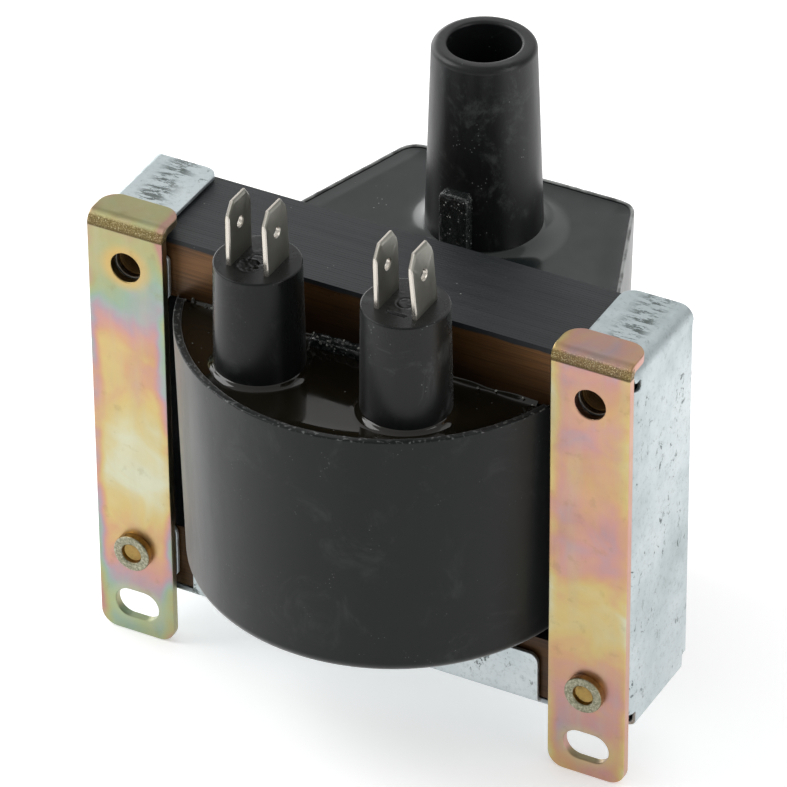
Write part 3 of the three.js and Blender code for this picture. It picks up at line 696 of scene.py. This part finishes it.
LOOKS = {
    "left_bracket": yellow_zinc(
        "yellow_zinc_left", -HOLE_X, LEFT_HEIGHTS, "a79f7c",
        halo=0.75, edge_change=0.36, shift=LEFT_SHIFT,
    ),
    "right_bracket": yellow_zinc(
        "yellow_zinc_right", HOLE_X, RIGHT_HEIGHTS, "cf9f97",
        halo=0.25, edge_change=-0.24, shift=RIGHT_SHIFT,
    ),
    "frame": white_zinc(),
    "core": core_steel(),
    "cup": black_plastic("cup_plastic", "050908", 0.36, 0.006 * MM, 0.35, 0.21, 0.42, CUP_RIM_HIGHLIGHT_ABOVE),
    "left_post": black_plastic("left_post_plastic", "080a09", 0.30, 0.008 * MM, 0.4, 0.24, 0.05),
    "right_post": black_plastic("right_post_plastic", "0a0c0b", 0.30, 0.014 * MM, 1.0, 0.26, 0.08),
    "tower": black_plastic("tower_plastic", "0b0c0d", 0.36, 0.012 * MM, 1.0, 0.34),
    "lug": sparkling_flash(),
    "resin": cast_resin(),
    "rivet": rivet_metal(),
    "tin": blade_tin(),
    "crumb": rough_crumb(),
    "copper": plain_metal("copper_wire", "6e3418", "b5683a", 300, 0.34),
    "brass": plain_metal("contact_brass", "8a6a2c", "c7a45a", 260, 0.3),
    "bobbin": plain_board("bobbin_plastic", "75705f", "9a927d", 240, 0.55),
    "board": plain_board("insulation_board", "7d6238", "a88a5a", 900, 0.8),
}

# ---- brackets


def build_bracket(side, hand):
    """Folded steel strip, drawn flat as (x, length along the strip, depth) and then bent."""
    width = bracket_high[0] - bracket_low[0]
    left = side * HOLE_X - width / 2
    right = side * HOLE_X + width / 2
    fold_start = LIP_TOP - BRACKET_BEND
    fold_length = math.pi / 2 * (BRACKET_BEND - BRACKET_SHEET / 2)
    lip = bracket_high[1] - bracket_low[1] - BRACKET_BEND
    total = fold_start + fold_length + lip
    foot = 2.6 * MM
    corners = [(left, 0, foot), (right, 0, foot), (right, total, LIP_CORNER), (left, total, LIP_CORNER)]
    outline = rounded(corners, 10)
    half_straight = (SLOT_WIDTH - SLOT_HEIGHT) / 2
    slot = arc(side * HOLE_X - half_straight, SLOT_Z, SLOT_HEIGHT / 2, 270, 90, 24)
    slot += arc(side * HOLE_X + half_straight, SLOT_Z, SLOT_HEIGHT / 2, 90, -90, 24)
    holes = [
        circle(side * HOLE_X, HOLE_Z, HOLE_RADIUS),
        circle(side * HOLE_X, RIVET_Z, HOLE_RADIUS),
        slot,
    ]
    bm = bmesh.new()
    add_plate(bm, [outline, *holes], 0, BRACKET_SHEET, 0.22 * MM, 4)
    cut_at(bm, 1, [fold_start + fold_length * k / 10 for k in range(11)])
    for vert in bm.verts:
        x, along, depth = vert.co
        turn = min(max((along - fold_start) / fold_length, 0), 1) * math.pi / 2
        inner = BRACKET_BEND - depth
        y = BRACKET_BEND - inner * math.cos(turn) + max(along - fold_start - fold_length, 0)
        z = min(along, fold_start) + inner * math.sin(turn)
        vert.co = (x, bracket_low[1] + y, z)
    look = LOOKS[f"{hand}_bracket"]
    finish_piece(f"{hand}_bracket_strip", bm, look, [f"{hand}_bracket"])


# ---- rivets


def build_rivet(side, hand):
    """Hollow-headed rivet through bracket, frame and core."""
    head = (rivet_high[0] - rivet_low[0]) / 2
    front = -rivet_low[1]
    under_head = -bracket_low[1]
    tail_face = -frame_high[1] - 0.05 * MM
    tail_end = -rivet_high[1]
    shank = HOLE_RADIUS - 0.15 * MM
    bore = 1.6 * MM
    profile = [(0, tail_end)]
    profile += arc(head - 0.7 * MM, tail_end + 0.7 * MM, 0.7 * MM, -90, 0, 6)
    profile += [(head, tail_face), (shank, tail_face), (shank, under_head)]
    profile += [(head - 0.1 * MM, under_head), (head, under_head + 0.15 * MM)]
    profile += arc(head - 0.25 * MM, front - 0.25 * MM, 0.25 * MM, 0, 90, 5)
    profile += [(bore + 0.25 * MM, front), (bore + 0.05 * MM, front - 0.1 * MM)]
    profile += [(bore, front - 0.3 * MM), (bore - 0.1 * MM, front - 0.75 * MM)]
    profile += [(bore * 0.6, front - 0.95 * MM), (0, front - 0.85 * MM)]
    bm = bmesh.new()
    add_lathe(bm, profile, (side * HOLE_X, 0, RIVET_Z), 56, "-Y")
    finish_piece(f"{hand}_rivet_turned", bm, LOOKS["rivet"], [f"{hand}_rivet"], 50)


# ---- the sheet frame


def build_frame():
    """The folded frame, drawn as one flat blank and then bent along its six fold lines.

    The blank's X runs from one tab's tip, down a side, along the bottom and up to the other tab.
    Its Y runs across, out to the flanges in front and behind.
    """
    side_x = frame_high[0]
    bottom = frame_low[2]
    top = frame_high[2]
    mid_y = (frame_low[1] + frame_high[1]) / 2
    half_flat = (frame_high[1] - frame_low[1]) / 2 - FRAME_BEND
    fold = math.pi / 2 * (FRAME_BEND - FRAME_SHEET / 2)
    lower_fold = side_x - FRAME_BEND
    side_start = lower_fold + fold
    bends = {-1: LEFT_TAB_BEND, 1: TAB_BEND}
    tab_folds = {way: math.pi / 2 * (bend - FRAME_SHEET / 2) for way, bend in bends.items()}
    side_ends = {way: side_start + top - bottom - FRAME_BEND - bend for way, bend in bends.items()}

    def up_side(z):
        return side_start + z - bottom - FRAME_BEND

    def flange_reach(x):
        return half_flat + fold + side_x - FRAME_BEND - x

    ear = flange_reach(FLANGE_EAR_X)
    waist = flange_reach(FLANGE_WAIST_X)
    relief = half_flat + FRAME_BEND - RELIEF_WIDTH
    bottom_flange = half_flat + fold + BOTTOM_FLANGE_HEIGHT - FRAME_BEND
    web_edge = half_flat + 0.7 * MM
    tab_edge = half_flat + FRAME_BEND - 0.05 * MM
    tab_rear = tab_edge - 0.5 * MM
    r = 0.5 * MM

    def quarter(way, across):
        points = [
            (BOTTOM_FLANGE_HALF, bottom_flange, 1.6 * MM),
            (BOTTOM_FLANGE_HALF, web_edge, r),
            (side_x - RELIEF_WIDTH, web_edge, r),
            (side_x - RELIEF_WIDTH, relief, r),
            (up_side(bottom + RELIEF_BOTTOM), relief, r),
            (up_side(bottom + RELIEF_BOTTOM), ear, 0.8 * MM),
            (up_side(WAIST_LOW_Z), ear, 1.5 * MM),
            (up_side(WAIST_LOW_Z), waist, 1.5 * MM),
            (up_side(WAIST_HIGH_Z), waist, 1.5 * MM),
            (up_side(WAIST_HIGH_Z), ear, 1.5 * MM),
            (up_side(top - RELIEF_TOP), ear, 0.8 * MM),
        ]
        if across < 0:
            points.append((up_side(top - RELIEF_TOP), relief, r))
            points.append((side_ends[way], relief, r))
            points.append((side_ends[way], tab_edge, r))
        else:
            points.append((up_side(top - RELIEF_TOP), tab_rear, r))
        tab_tip = side_ends[way] + tab_folds[way] + side_x - bends[way] - TAB_TIP_X
        points.append((tab_tip, tab_edge if across < 0 else tab_rear, 2.2 * MM))
        return [(way * x, across * y, corner) for x, y, corner in points]

    right = quarter(1, -1) + quarter(1, 1)[::-1]
    left = quarter(-1, 1) + quarter(-1, -1)[::-1]
    outline = rounded(right + left, 6)
    holes = []
    for way in (-1, 1):
        for across in (-1, 1):
            for z in (HOLE_Z, RIVET_Z):
                holes.append(circle(way * up_side(z), across * flange_reach(HOLE_X), HOLE_RADIUS, 40))
    bm = bmesh.new()
    add_plate(bm, [outline, *holes], 0, FRAME_SHEET, 0.16 * MM)
    steps = [k / 8 for k in range(9)]
    cut_at(bm, 1, [way * (half_flat + fold * k) for way in (-1, 1) for k in steps])
    for way in (-1, 1):
        for start, length in ((lower_fold, fold), (side_ends[way], tab_folds[way])):
            cut_at(bm, 0, [way * (start + length * k) for k in steps])
    for vert in bm.verts:
        along, across, depth = vert.co
        # Across the blank: how far inside the outer surface this point ends up, and its place in Y.
        past = abs(across) - half_flat
        turn = min(max(past / fold, 0), 1) * math.pi / 2
        swing = FRAME_BEND - depth
        inward = FRAME_BEND - swing * math.cos(turn) + max(past - fold, 0)
        reach = min(abs(across), half_flat) + swing * math.sin(turn)
        way = 1 if along > 0 else -1
        bend = bends[way]
        side_end = side_ends[way]
        if abs(along) > side_end - 0.01 * MM:
            inward = depth
            reach = abs(across)
        # Along the blank: the bottom, a side or a tab, with the corners between them.
        run = abs(along)
        lower = min(max((run - lower_fold) / fold, 0), 1) * math.pi / 2
        upper = min(max((run - side_end) / tab_folds[way], 0), 1) * math.pi / 2
        level = min(max(run - side_start, 0), side_end - side_start)
        back = max(run - side_end - tab_folds[way], 0)
        if run < side_start:
            x = min(run, lower_fold) + (FRAME_BEND - inward) * math.sin(lower)
            z = bottom + FRAME_BEND - (FRAME_BEND - inward) * math.cos(lower)
        else:
            x = side_x - bend + (bend - inward) * math.cos(upper) - back
            z = bottom + FRAME_BEND + level + (bend - inward) * math.sin(upper)
        vert.co = (math.copysign(x, along), mid_y + math.copysign(reach, across), z)
    finish_piece("core_frame_folded", bm, LOOKS["frame"], ["core_frame"])


# ---- the laminated core


def build_stack(name, outline, holes, replaced):
    """A stack of pressed sheets, each a hair out of line with the next."""
    pitch = (core_high[1] - core_low[1]) / CORE_SHEETS
    bm = bmesh.new()
    for i in range(CORE_SHEETS):
        slip_x = random.uniform(-0.03, 0.03) * MM
        slip_z = random.uniform(-0.015, 0) * MM
        loops = [[(x + slip_x, z + slip_z) for x, z in loop] for loop in (outline, *holes)]
        add_plate(bm, loops, i * pitch, (i + 1) * pitch - 0.004 * MM, 0.018 * MM, 1)
    for vert in bm.verts:
        x, z, depth = vert.co
        vert.co = (x, core_low[1] + depth, z)
    finish_piece(name, bm, LOOKS["core"], [replaced], 30)


def build_core():
    r = 0.25 * MM
    top_r = TAB_BEND - FRAME_SHEET - GAP
    yoke = rounded([
        (core_low[0], core_low[2], r),
        (core_high[0], core_low[2], r),
        (core_high[0], core_high[2], top_r),
        (core_low[0], core_high[2], r),
    ], 4)
    holes = [circle(side * HOLE_X, HOLE_Z, HOLE_RADIUS - 0.1 * MM, 40) for side in (-1, 1)]
    build_stack("core_i_sheets", yoke, holes, "core_i_stack")
    leg = CORE_LEG_X
    centre = CORE_CENTRE_LEG_X
    window = e_low[2] + CORE_LOWER_YOKE
    half = [
        (e_high[0], e_low[2], r),
        (e_high[0], e_high[2], r),
        (leg, e_high[2], r),
        (leg, window, r),
        (centre, window, r),
        (centre, e_high[2] - 0.7 * MM, r),
    ]
    outline = rounded(half + [(-x, z, c) for x, z, c in reversed(half)], 2)
    holes = [circle(side * HOLE_X, RIVET_Z, HOLE_RADIUS - 0.1 * MM, 32) for side in (-1, 1)]
    build_stack("core_e_sheets", outline, holes, "core_e_stack")


# ---- the cup and its resin


def cup_outline(inset, turns):
    """Seen from above: round front, sides that taper unequally and a rear with round corners."""
    radius = CUP_FRONT_RADIUS - inset
    corner = max(CUP_REAR_CORNER - inset, 0.8 * MM)
    corner_y = cup_high[1] - inset - corner

    def corner_x(taper):
        return (radius - corner - (corner_y - CUP_CENTRE_Y) * math.sin(taper)) / math.cos(taper)

    front = [(radius * math.cos(turn), CUP_CENTRE_Y + radius * math.sin(turn)) for turn in turns]
    right = arc(corner_x(CUP_RIGHT_TAPER), corner_y, corner, math.degrees(CUP_RIGHT_TAPER), 90, 8)
    left = arc(-corner_x(CUP_LEFT_TAPER), corner_y, corner, 90, 180 - math.degrees(CUP_LEFT_TAPER), 8)
    points = front + between(front[-1], right[0], 36) + right + between(right[-1], left[0], 36)
    return points + left + between(left[-1], front[0], 36)


def front_turns():
    """Angles of the round front, with close pairs where the yoke's notch begins and ends."""
    start = -math.pi - CUP_LEFT_TAPER
    end = CUP_RIGHT_TAPER
    turns = [start + (end - start) * i / 150 for i in range(151)]
    for edge in (core_low[1] - GAP, core_high[1] + GAP):
        turn = math.asin((edge - CUP_CENTRE_Y) / CUP_FRONT_RADIUS)
        for angle in (turn - 0.002, turn + 0.002):
            turns += [angle, -math.pi - angle]
    return sorted(turns)


def at_yoke(y):
    return core_low[1] - GAP < y < core_high[1] + GAP


FRONT_TURNS = front_turns()


def cup_ring(front_inset, rear_inset):
    """The cup's outline with one inset in front of the yoke's middle and another behind it."""
    pairs = zip(cup_outline(front_inset, FRONT_TURNS), cup_outline(rear_inset, FRONT_TURNS))
    return [rear if front[1] > CORE_MID_Y else front for front, rear in pairs]


def build_cup():
    """The moulded cup, with its bottom edge rounded and its rim cut down under the yoke."""
    rim = cup_high[2]
    bottom = cup_low[2]
    lip = 0.25 * MM
    levels = [(CUP_FILLET * 6, bottom), (CUP_FILLET * 2, bottom)]
    for k in range(9):
        a = math.pi / 2 * k / 8
        levels.append((CUP_FILLET * (1 - math.sin(a)), bottom + CUP_FILLET * (1 - math.cos(a))))
    levels += [(0, bottom + (rim - bottom) * k) for k in (0.3, 0.6, 0.9)]
    for k in range(5):
        a = math.pi / 2 * k / 4
        levels.append((lip * (1 - math.cos(a)), rim - lip * (1 - math.sin(a))))
    levels += [(CUP_RIM - lip, rim), (CUP_RIM, rim - lip)]
    levels += [(CUP_WALL, bottom + CUP_WALL + CUP_FILLET), (CUP_WALL + CUP_FILLET, bottom + CUP_WALL)]
    bm = bmesh.new()
    rings = []
    for inset, z in levels:
        ring = []
        draft = CUP_DRAFT * (rim - z)
        rear = inset
        if z > rim - 2 * lip and inset > lip:
            rear = inset - CUP_RIM + CUP_REAR_RIM
        for x, y in cup_ring(inset + draft, rear + draft):
            height = z
            if y > CORE_MID_Y and z > rim - 2 * lip:
                height -= CUP_REAR_DROP
            if z > rim - 2 * lip:
                height -= 0.08 * MM * (0.5 + noise.noise(Vector((x, y, 0)) * 900))
            if at_yoke(y):
                height = min(height, RESIN_TOP)
            ring.append(bm.verts.new((x, y, height)))
        rings.append(ring)
    skin(bm, rings)
    finish_piece("housing_cup_moulding", bm, LOOKS["cup"], ["housing_cup"], 50)


def build_resin():
    """Resin surface that climbs smoothly to the cup's wall."""
    bm = bmesh.new()
    rings = []
    floor = cup_low[2] + CUP_WALL
    rise = 0.62 * MM
    climb_width = 5 * MM
    steps = [(2 * MM, floor + 3 * MM), (0, RESIN_TOP - 1 * MM)]
    steps += [(out / 12 * climb_width, RESIN_TOP + rise * (1 - out / 12) ** 4) for out in range(13)]
    for inset, z in steps:
        ring = []
        for x, y in cup_ring(CUP_RIM + inset, CUP_REAR_RIM + inset):
            height = z
            if y > CORE_MID_Y and z > RESIN_TOP:
                height = RESIN_TOP + (z - RESIN_TOP) * (1 - CUP_REAR_DROP / rise)
            if at_yoke(y):
                height = min(height, RESIN_TOP)
            ring.append(bm.verts.new((x, y, height)))
        rings.append(ring)
    skin(bm, rings)
    finish_piece("potting_surface", bm, LOOKS["resin"], ["potting"], 50)


def build_meniscus(name, x, y, radius, height, spread):
    """Ring of resin that climbs a post or the tower."""
    under = RESIN_TOP - RESIN_OVERLAP
    profile = [(radius - RESIN_OVERLAP, under), (radius + spread, under)]
    for k in range(13):
        out = spread * (1 - k / 12)
        climb = height * (1 - out / spread) ** 3.5
        profile.append((radius + out, RESIN_TOP + climb - 0.003 * MM))
    profile.append((radius - RESIN_OVERLAP, RESIN_TOP + height))
    bm = bmesh.new()
    add_lathe(bm, profile, (x, y, 0), 72)
    finish_piece(name, bm, LOOKS["resin"], (), 60)


def build_yoke_fillet(name, way):
    """Resin that climbs the yoke's face, unevenly along X."""
    face = core_low[1] if way < 0 else core_high[1]
    turn = math.asin((face - CUP_CENTRE_Y) / CUP_FRONT_RADIUS)
    half = (CUP_FRONT_RADIUS - CUP_WALL) * math.cos(turn) - 0.6 * MM
    spread = 1.8 * MM
    under = RESIN_TOP - RESIN_OVERLAP
    bm = bmesh.new()
    rings = []
    for i in range(101):
        x = -half + 2 * half * i / 100
        height = (0.75 + 0.3 * noise.noise(Vector((x * 220, way, 0)))) * MM
        ring = [bm.verts.new((x, face - way * 0.2 * MM, under))]
        ring.append(bm.verts.new((x, face + way * spread, under)))
        for k in range(9):
            out = spread * (1 - k / 8)
            climb = height * (math.exp(-3 * out / spread) - math.exp(-3)) / (1 - math.exp(-3))
            ring.append(bm.verts.new((x, face + way * out, RESIN_TOP + climb)))
        ring.append(bm.verts.new((x, face - way * 0.2 * MM, RESIN_TOP + height)))
        rings.append(ring)
    skin(bm, rings)
    finish_piece(name, bm, LOOKS["resin"], (), 60)


def in_fixed_order(bm):
    """The same mesh with its faces stored in one order. Subdividing shuffles them from run to run."""
    bm.verts.index_update()
    rings = []
    for face in bm.faces:
        ring = [vert.index for vert in face.verts]
        first = ring.index(min(ring))
        rings.append(ring[first:] + ring[:first])
    made = bmesh.new()
    verts = [made.verts.new(vert.co) for vert in bm.verts]
    for ring in sorted(rings):
        made.faces.new([verts[i] for i in ring])
    bm.free()
    return made


def build_rough_block(name, low, high, amount, scale, longest_edge):
    """A worn or flash-covered block: a rounded box with real surface roughness."""
    bm = bmesh.new()
    bmesh.ops.create_cube(bm, size=1)
    bmesh.ops.bevel(bm, geom=bm.edges[:], offset=0.12, segments=3, affect="EDGES", profile=0.5)
    bmesh.ops.triangulate(bm, faces=bm.faces[:])
    size = Vector(high) - Vector(low)
    for _ in range(4):
        longest = [line for line in bm.edges if line.calc_length() > longest_edge]
        bmesh.ops.subdivide_edges(bm, edges=longest, cuts=1, use_grid_fill=False)
        bmesh.ops.triangulate(bm, faces=bm.faces[:])
    bm = in_fixed_order(bm)
    bm.normal_update()
    for vert in bm.verts:
        direction = vert.normal.copy()
        place = Vector((vert.co.x * size.x, vert.co.y * size.y, vert.co.z * size.z))
        place += (Vector(low) + Vector(high)) / 2
        lift = noise.noise(place * scale) + 0.5 * noise.noise(place * scale * 2.3)
        vert.co = place + direction * amount * lift
    finish_piece(name, bm, LOOKS["lug"], (), 180, False)


def gate_relief(x, y, side):
    """Height of the post's top at a place from its centre: a gate ring, and a torn or stepped edge."""
    spot = Vector((x + side * POST_X, y, 0))
    torn = noise.noise(spot * 900) + 0.6 * noise.noise(spot * 2100)
    out = math.hypot(x, y)
    torn_radius = 4.4 * MM
    ring_radius = 1.25 * MM
    fade = max(0, 1 - (out / torn_radius) ** 2)
    lift = 0.05 * MM * torn * fade - 0.10 * MM * math.exp(-(((out - ring_radius) / (0.12 * MM)) ** 2))
    if side < 0:
        reach = 1.7 * MM
        out = math.hypot(x + 0.5 * MM, y + 1.9 * MM) + 0.3 * MM * torn
        lift += 0.09 * MM * math.exp(-(((out - reach) / (0.18 * MM)) ** 2))
        if out < reach:
            lift += 0.10 * MM * torn - 0.16 * MM * (1 - (out / reach) ** 2)
    elif -1.4 * MM < x < 1.6 * MM:
        edge = y + 2.8 * MM
        lift += 0.14 * MM * math.exp(-((edge / (0.12 * MM)) ** 2))
        lift -= 0.14 * MM * math.exp(-(((edge + 0.3 * MM) / (0.2 * MM)) ** 2))
    return lift


# ---- posts and terminals


def build_post(side, hand):
    """Tapered post whose top shows how it was moulded."""
    base = RESIN_TOP - ROOT_DEPTH
    top = post_high[2]
    base_radius = (post_high[0] - post_low[0]) / 2
    top_radius = base_radius - 0.3 * MM
    edge = 0.28 * MM
    profile = [(0, base), (base_radius, base)]
    profile += arc(top_radius - edge, top - edge, edge, 0, 90, 5)
    rings = 46
    profile += [((top_radius - edge) * (1 - k / rings), top) for k in range(1, rings + 1)]
    bm = bmesh.new()
    add_lathe(bm, profile[:-1] + [(0, top)], (0, 0, 0), 120)
    for vert in bm.verts:
        if vert.co.z > top - 0.1 * edge:
            vert.co.z += gate_relief(vert.co.x, vert.co.y, side)
        vert.co += Vector((side * POST_X, POST_Y, 0))
    look = LOOKS[f"{hand}_post"]
    finish_piece(f"{hand}_post_moulding", bm, look, [f"{hand}_terminal_post"], 50)
    x = side * POST_X
    build_meniscus(f"{hand}_post_meniscus", x, POST_Y, base_radius - 0.02 * MM, 0.75 * MM, 1.7 * MM)


def build_terminal(side, hand):
    """Two stamped blades, thinned at the tip, each with its own lean."""
    bottom = RESIN_TOP + 6 * MM
    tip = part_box("right_terminal")[1][2]
    bend = post_high[2] + BLADE_BEND_ABOVE_POST
    half = BLADE_WIDTH / 2
    chamfer = 1.3 * MM
    drop = 1.85 * MM
    corners = [
        (-half, bottom, 0),
        (half, bottom, 0),
        (half, tip - drop, 0.2 * MM),
        (half - chamfer, tip, 0.2 * MM),
        (chamfer - half, tip, 0.2 * MM),
        (-half, tip - drop, 0.2 * MM),
    ]
    slope = Vector((drop, chamfer, 0)).normalized()
    worn = 0.55 * MM
    worn_edges = []
    mirrored = Vector((-slope.x, slope.y, 0))
    for way, x in ((Vector((0, 1, 0)), 0), (slope, half - chamfer), (mirrored, chamfer - half)):
        worn_edges.append((way, Vector((x, tip, 0)).dot(way) - worn))
    bm = bmesh.new()
    for index, hand_x in enumerate((-1, 1)):
        blade = bmesh.new()
        hole = circle(0, tip - 4.4 * MM, 0.8 * MM, 32)
        add_plate(blade, [rounded(corners, 3), hole], 0, BLADE_SHEET, 0.16 * MM, 1)
        cut_at(blade, 1, [bend, bend + 0.3 * MM])
        for way, reach in worn_edges:
            cut_along(blade, way * reach, way)
        lean = math.tan(BLADE_LEANS[hand][index])
        for vert in blade.verts:
            over = max(vert.co.dot(way) - reach for way, reach in worn_edges)
            thin = 1 - 0.45 * min(max(over / worn, 0), 1)
            y, z, depth = vert.co
            x = hand_x * BLADE_PITCH / 2 + (depth - BLADE_SHEET / 2) * thin - max(z - bend, 0) * lean
            vert.co = (side * POST_X + x, POST_Y + y, z)
        mesh = to_mesh("blade", blade)
        bm.from_mesh(mesh)
        bpy.data.meshes.remove(mesh)
    finish_piece(f"{hand}_terminal_blades", bm, LOOKS["tin"], [f"{hand}_terminal"], 30)


# ---- the high-tension tower


def build_tower():
    rim = tower_high[2]
    shoulder = rim - TOWER_ROUNDING
    bore = TOWER_BORE_RADIUS
    base = RESIN_TOP - ROOT_DEPTH
    contact = 3.65 * MM
    profile = [(contact, base), (TOWER_RADIUS - 0.1 * MM, base)]
    profile += [(TOWER_RADIUS - 0.15 * MM, RESIN_TOP + 2 * MM), (TOWER_TOP_RADIUS, shoulder)]
    profile += arc(TOWER_TOP_RADIUS - TOWER_ROUNDING, shoulder, TOWER_ROUNDING, 12, 90, 8)
    profile += arc(bore + 0.5 * MM, rim - 0.5 * MM, 0.5 * MM, 90, 180, 5)
    profile += [(bore - 0.05 * MM, rim - 8 * MM), (bore - 0.2 * MM, TOWER_BORE_FLOOR_Z)]
    profile += [(contact, TOWER_BORE_FLOOR_Z)]
    bm = bmesh.new()
    add_lathe(bm, profile, (0, TOWER_Y, 0), 112)
    finish_piece("ht_tower_moulding", bm, LOOKS["tower"], ["ht_tower"], 50)
    build_meniscus("tower_meniscus", 0, TOWER_Y, TOWER_RADIUS - 0.15 * MM, 1.1 * MM, 5.0 * MM)
    low = (-2.3 * MM, tower_low[1] + 0.15 * MM, RESIN_TOP - RESIN_OVERLAP)
    high = (2.3 * MM, TOWER_Y - TOWER_RADIUS + 1.6 * MM, 71.7 * MM)
    build_rough_block("tower_lug", low, high, 0.12 * MM, 2200, 0.11)


# ---- small things left by making it


def build_core_lip():
    """Ragged edge of the cup's inner tube, showing above the resin in front of the yoke."""
    low = (-8.2 * MM, core_low[1] - 1.9 * MM, RESIN_TOP - 0.5 * MM)
    high = (8.2 * MM, core_low[1] + 0.1 * MM, RESIN_TOP + 1.4 * MM)
    build_rough_block("inner_tube_edge", low, high, 0.3 * MM, 900, 0.05)


def build_crumbs():
    """Flash crumbs along the front of the yoke, thickest on the inner tube's edge."""
    bm = bmesh.new()
    places = [(random.uniform(-29, -21), random.uniform(-0.6, -0.2), 0.4, 1.0) for _ in range(5)]
    places += [(random.uniform(-8, 8), random.uniform(-2.2, -0.4), 0.8, 1.5) for _ in range(46)]
    places += [(random.uniform(18, 29), random.uniform(-0.8, -0.2), 0.3, 0.9) for _ in range(5)]
    for x, ahead, low, high in places:
        made = bmesh.ops.create_icosphere(bm, subdivisions=2, radius=1)
        size = Vector([random.uniform(0.08, 0.3) * MM for _ in range(3)])
        centre = Vector((x * MM, core_low[1] + ahead * MM, RESIN_TOP + random.uniform(low, high) * MM))
        for vert in made["verts"]:
            wobble = 1 + 0.5 * noise.noise(vert.co * 1.7 + centre * 4000)
            vert.co = centre + Vector([vert.co[i] * size[i] * wobble for i in range(3)])
    finish_piece("flash_crumbs", bm, LOOKS["crumb"], (), 180, False)


# ---- assembly

random.seed(11)
for build_side, build_hand in ((-1, "left"), (1, "right")):
    build_bracket(build_side, build_hand)
    build_rivet(build_side, build_hand)
    build_post(build_side, build_hand)
    build_terminal(build_side, build_hand)
build_frame()
build_core()
build_cup()
build_resin()
build_yoke_fillet("front_resin_fillet", -1)
build_yoke_fillet("rear_resin_fillet", 1)
build_tower()
build_core_lip()
build_crumbs()

HIDDEN_LOOKS = {
    "air_gap_shim": "board",
    "interwinding_insulation": "board",
    "primary_bobbin": "bobbin",
    "secondary_bobbin": "bobbin",
    "ht_contact": "brass",
}
for node_name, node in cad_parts.items():
    if node_name in HIDDEN_LOOKS:
        finish = LOOKS[HIDDEN_LOOKS[node_name]]
    elif any(word in node_name for word in ("winding", "section", "lead", "wire")):
        finish = LOOKS["copper"]
    else:
        continue
    node.data.materials.clear()
    node.data.materials.append(finish)

# ---- floor, light and camera


def build_floor():
    bm = bmesh.new()
    bmesh.ops.create_grid(bm, x_segments=8, y_segments=8, size=3)
    mesh = to_mesh("floor", bm)
    floor = add_object("floor", mesh)
    look = Look("floor_paint", emission_strength=0.32)
    look.shader.inputs["Emission Color"].default_value = (1, 1, 1, 1)
    shade = look.mix(look.noise(6, 2), (0.92, 0.92, 0.92, 1), (0.95, 0.95, 0.95, 1))
    mesh.materials.append(look.finish(shade, look.span(look.noise(8, 2), 0.3, 0.7, 0.8, 0.9)))


def add_softbox(name, direction, distance, size, power):
    """A soft rectangular light that looks at the part from a direction."""
    lamp = bpy.data.lights.new(name, "AREA")
    lamp.shape = "RECTANGLE"
    lamp.size, lamp.size_y = size
    lamp.energy = power
    light = add_object(name, lamp)
    aim = Vector((0, 0, 0.045))
    way = Vector(direction).normalized()
    light.location = aim + way * distance
    light.rotation_euler = way.to_track_quat("Z", "Y").to_euler()


def build_world():
    """A white studio, brighter behind and to the left than towards the front right."""
    world = bpy.data.worlds.new("studio")
    world.use_nodes = True
    tree = world.node_tree
    way = tree.nodes.new("ShaderNodeTexCoord").outputs["Generated"]
    lit = tree.nodes.new("ShaderNodeVectorMath")
    lit.operation = "DOT_PRODUCT"
    tree.links.new(way, lit.inputs[0])
    lit.inputs[1].default_value = (-0.75, 0.5, 0)
    strength = tree.nodes.new("ShaderNodeMapRange")
    tree.links.new(lit.outputs["Value"], strength.inputs["Value"])
    strength.inputs["From Min"].default_value = -1
    strength.inputs["To Min"].default_value = 0.4
    strength.inputs["To Max"].default_value = 0.85
    background = tree.nodes["Background"]
    background.inputs["Color"].default_value = (1, 1, 1, 1)
    tree.links.new(strength.outputs["Result"], background.inputs["Strength"])
    bpy.context.scene.world = world


def build_camera():
    azimuth = math.radians(28.315)
    elevation = math.radians(34.76)
    roll = math.radians(-0.478)
    distance = 0.9533
    target = Vector((7.12 * MM, -19.0 * MM, 58.73 * MM))
    back = Vector((
        math.sin(azimuth) * math.cos(elevation),
        -math.cos(azimuth) * math.cos(elevation),
        math.sin(elevation),
    ))
    level = Vector((math.cos(azimuth), math.sin(azimuth), 0))
    upright = back.cross(level)
    right = level * math.cos(roll) + upright * math.sin(roll)
    up = upright * math.cos(roll) - level * math.sin(roll)
    lens = bpy.data.cameras.new("camera")
    lens.sensor_width = 36
    lens.lens = 307.13
    lens.clip_end = 20
    camera = add_object("camera", lens)
    turned = Matrix((right, up, back)).transposed().to_4x4()
    camera.matrix_world = Matrix.Translation(target + back * distance) @ turned
    bpy.context.scene.camera = camera


build_floor()
build_world()
add_softbox("key_left", (-0.85, -0.2, 0.7), 1.1, (0.7, 0.7), 6)
add_softbox("rim_left", (-1, 0.6, 0.15), 0.9, (1.0, 0.6), 4)
add_softbox("top_rear", (0.1, 0.9, 0.8), 1.2, (1.1, 0.8), 1.5)
add_softbox("fill_right", (0.95, -0.1, 0.35), 1.2, (0.6, 0.8), 3.5)
build_camera()
bpy.context.scene.view_settings.view_transform = "Standard"
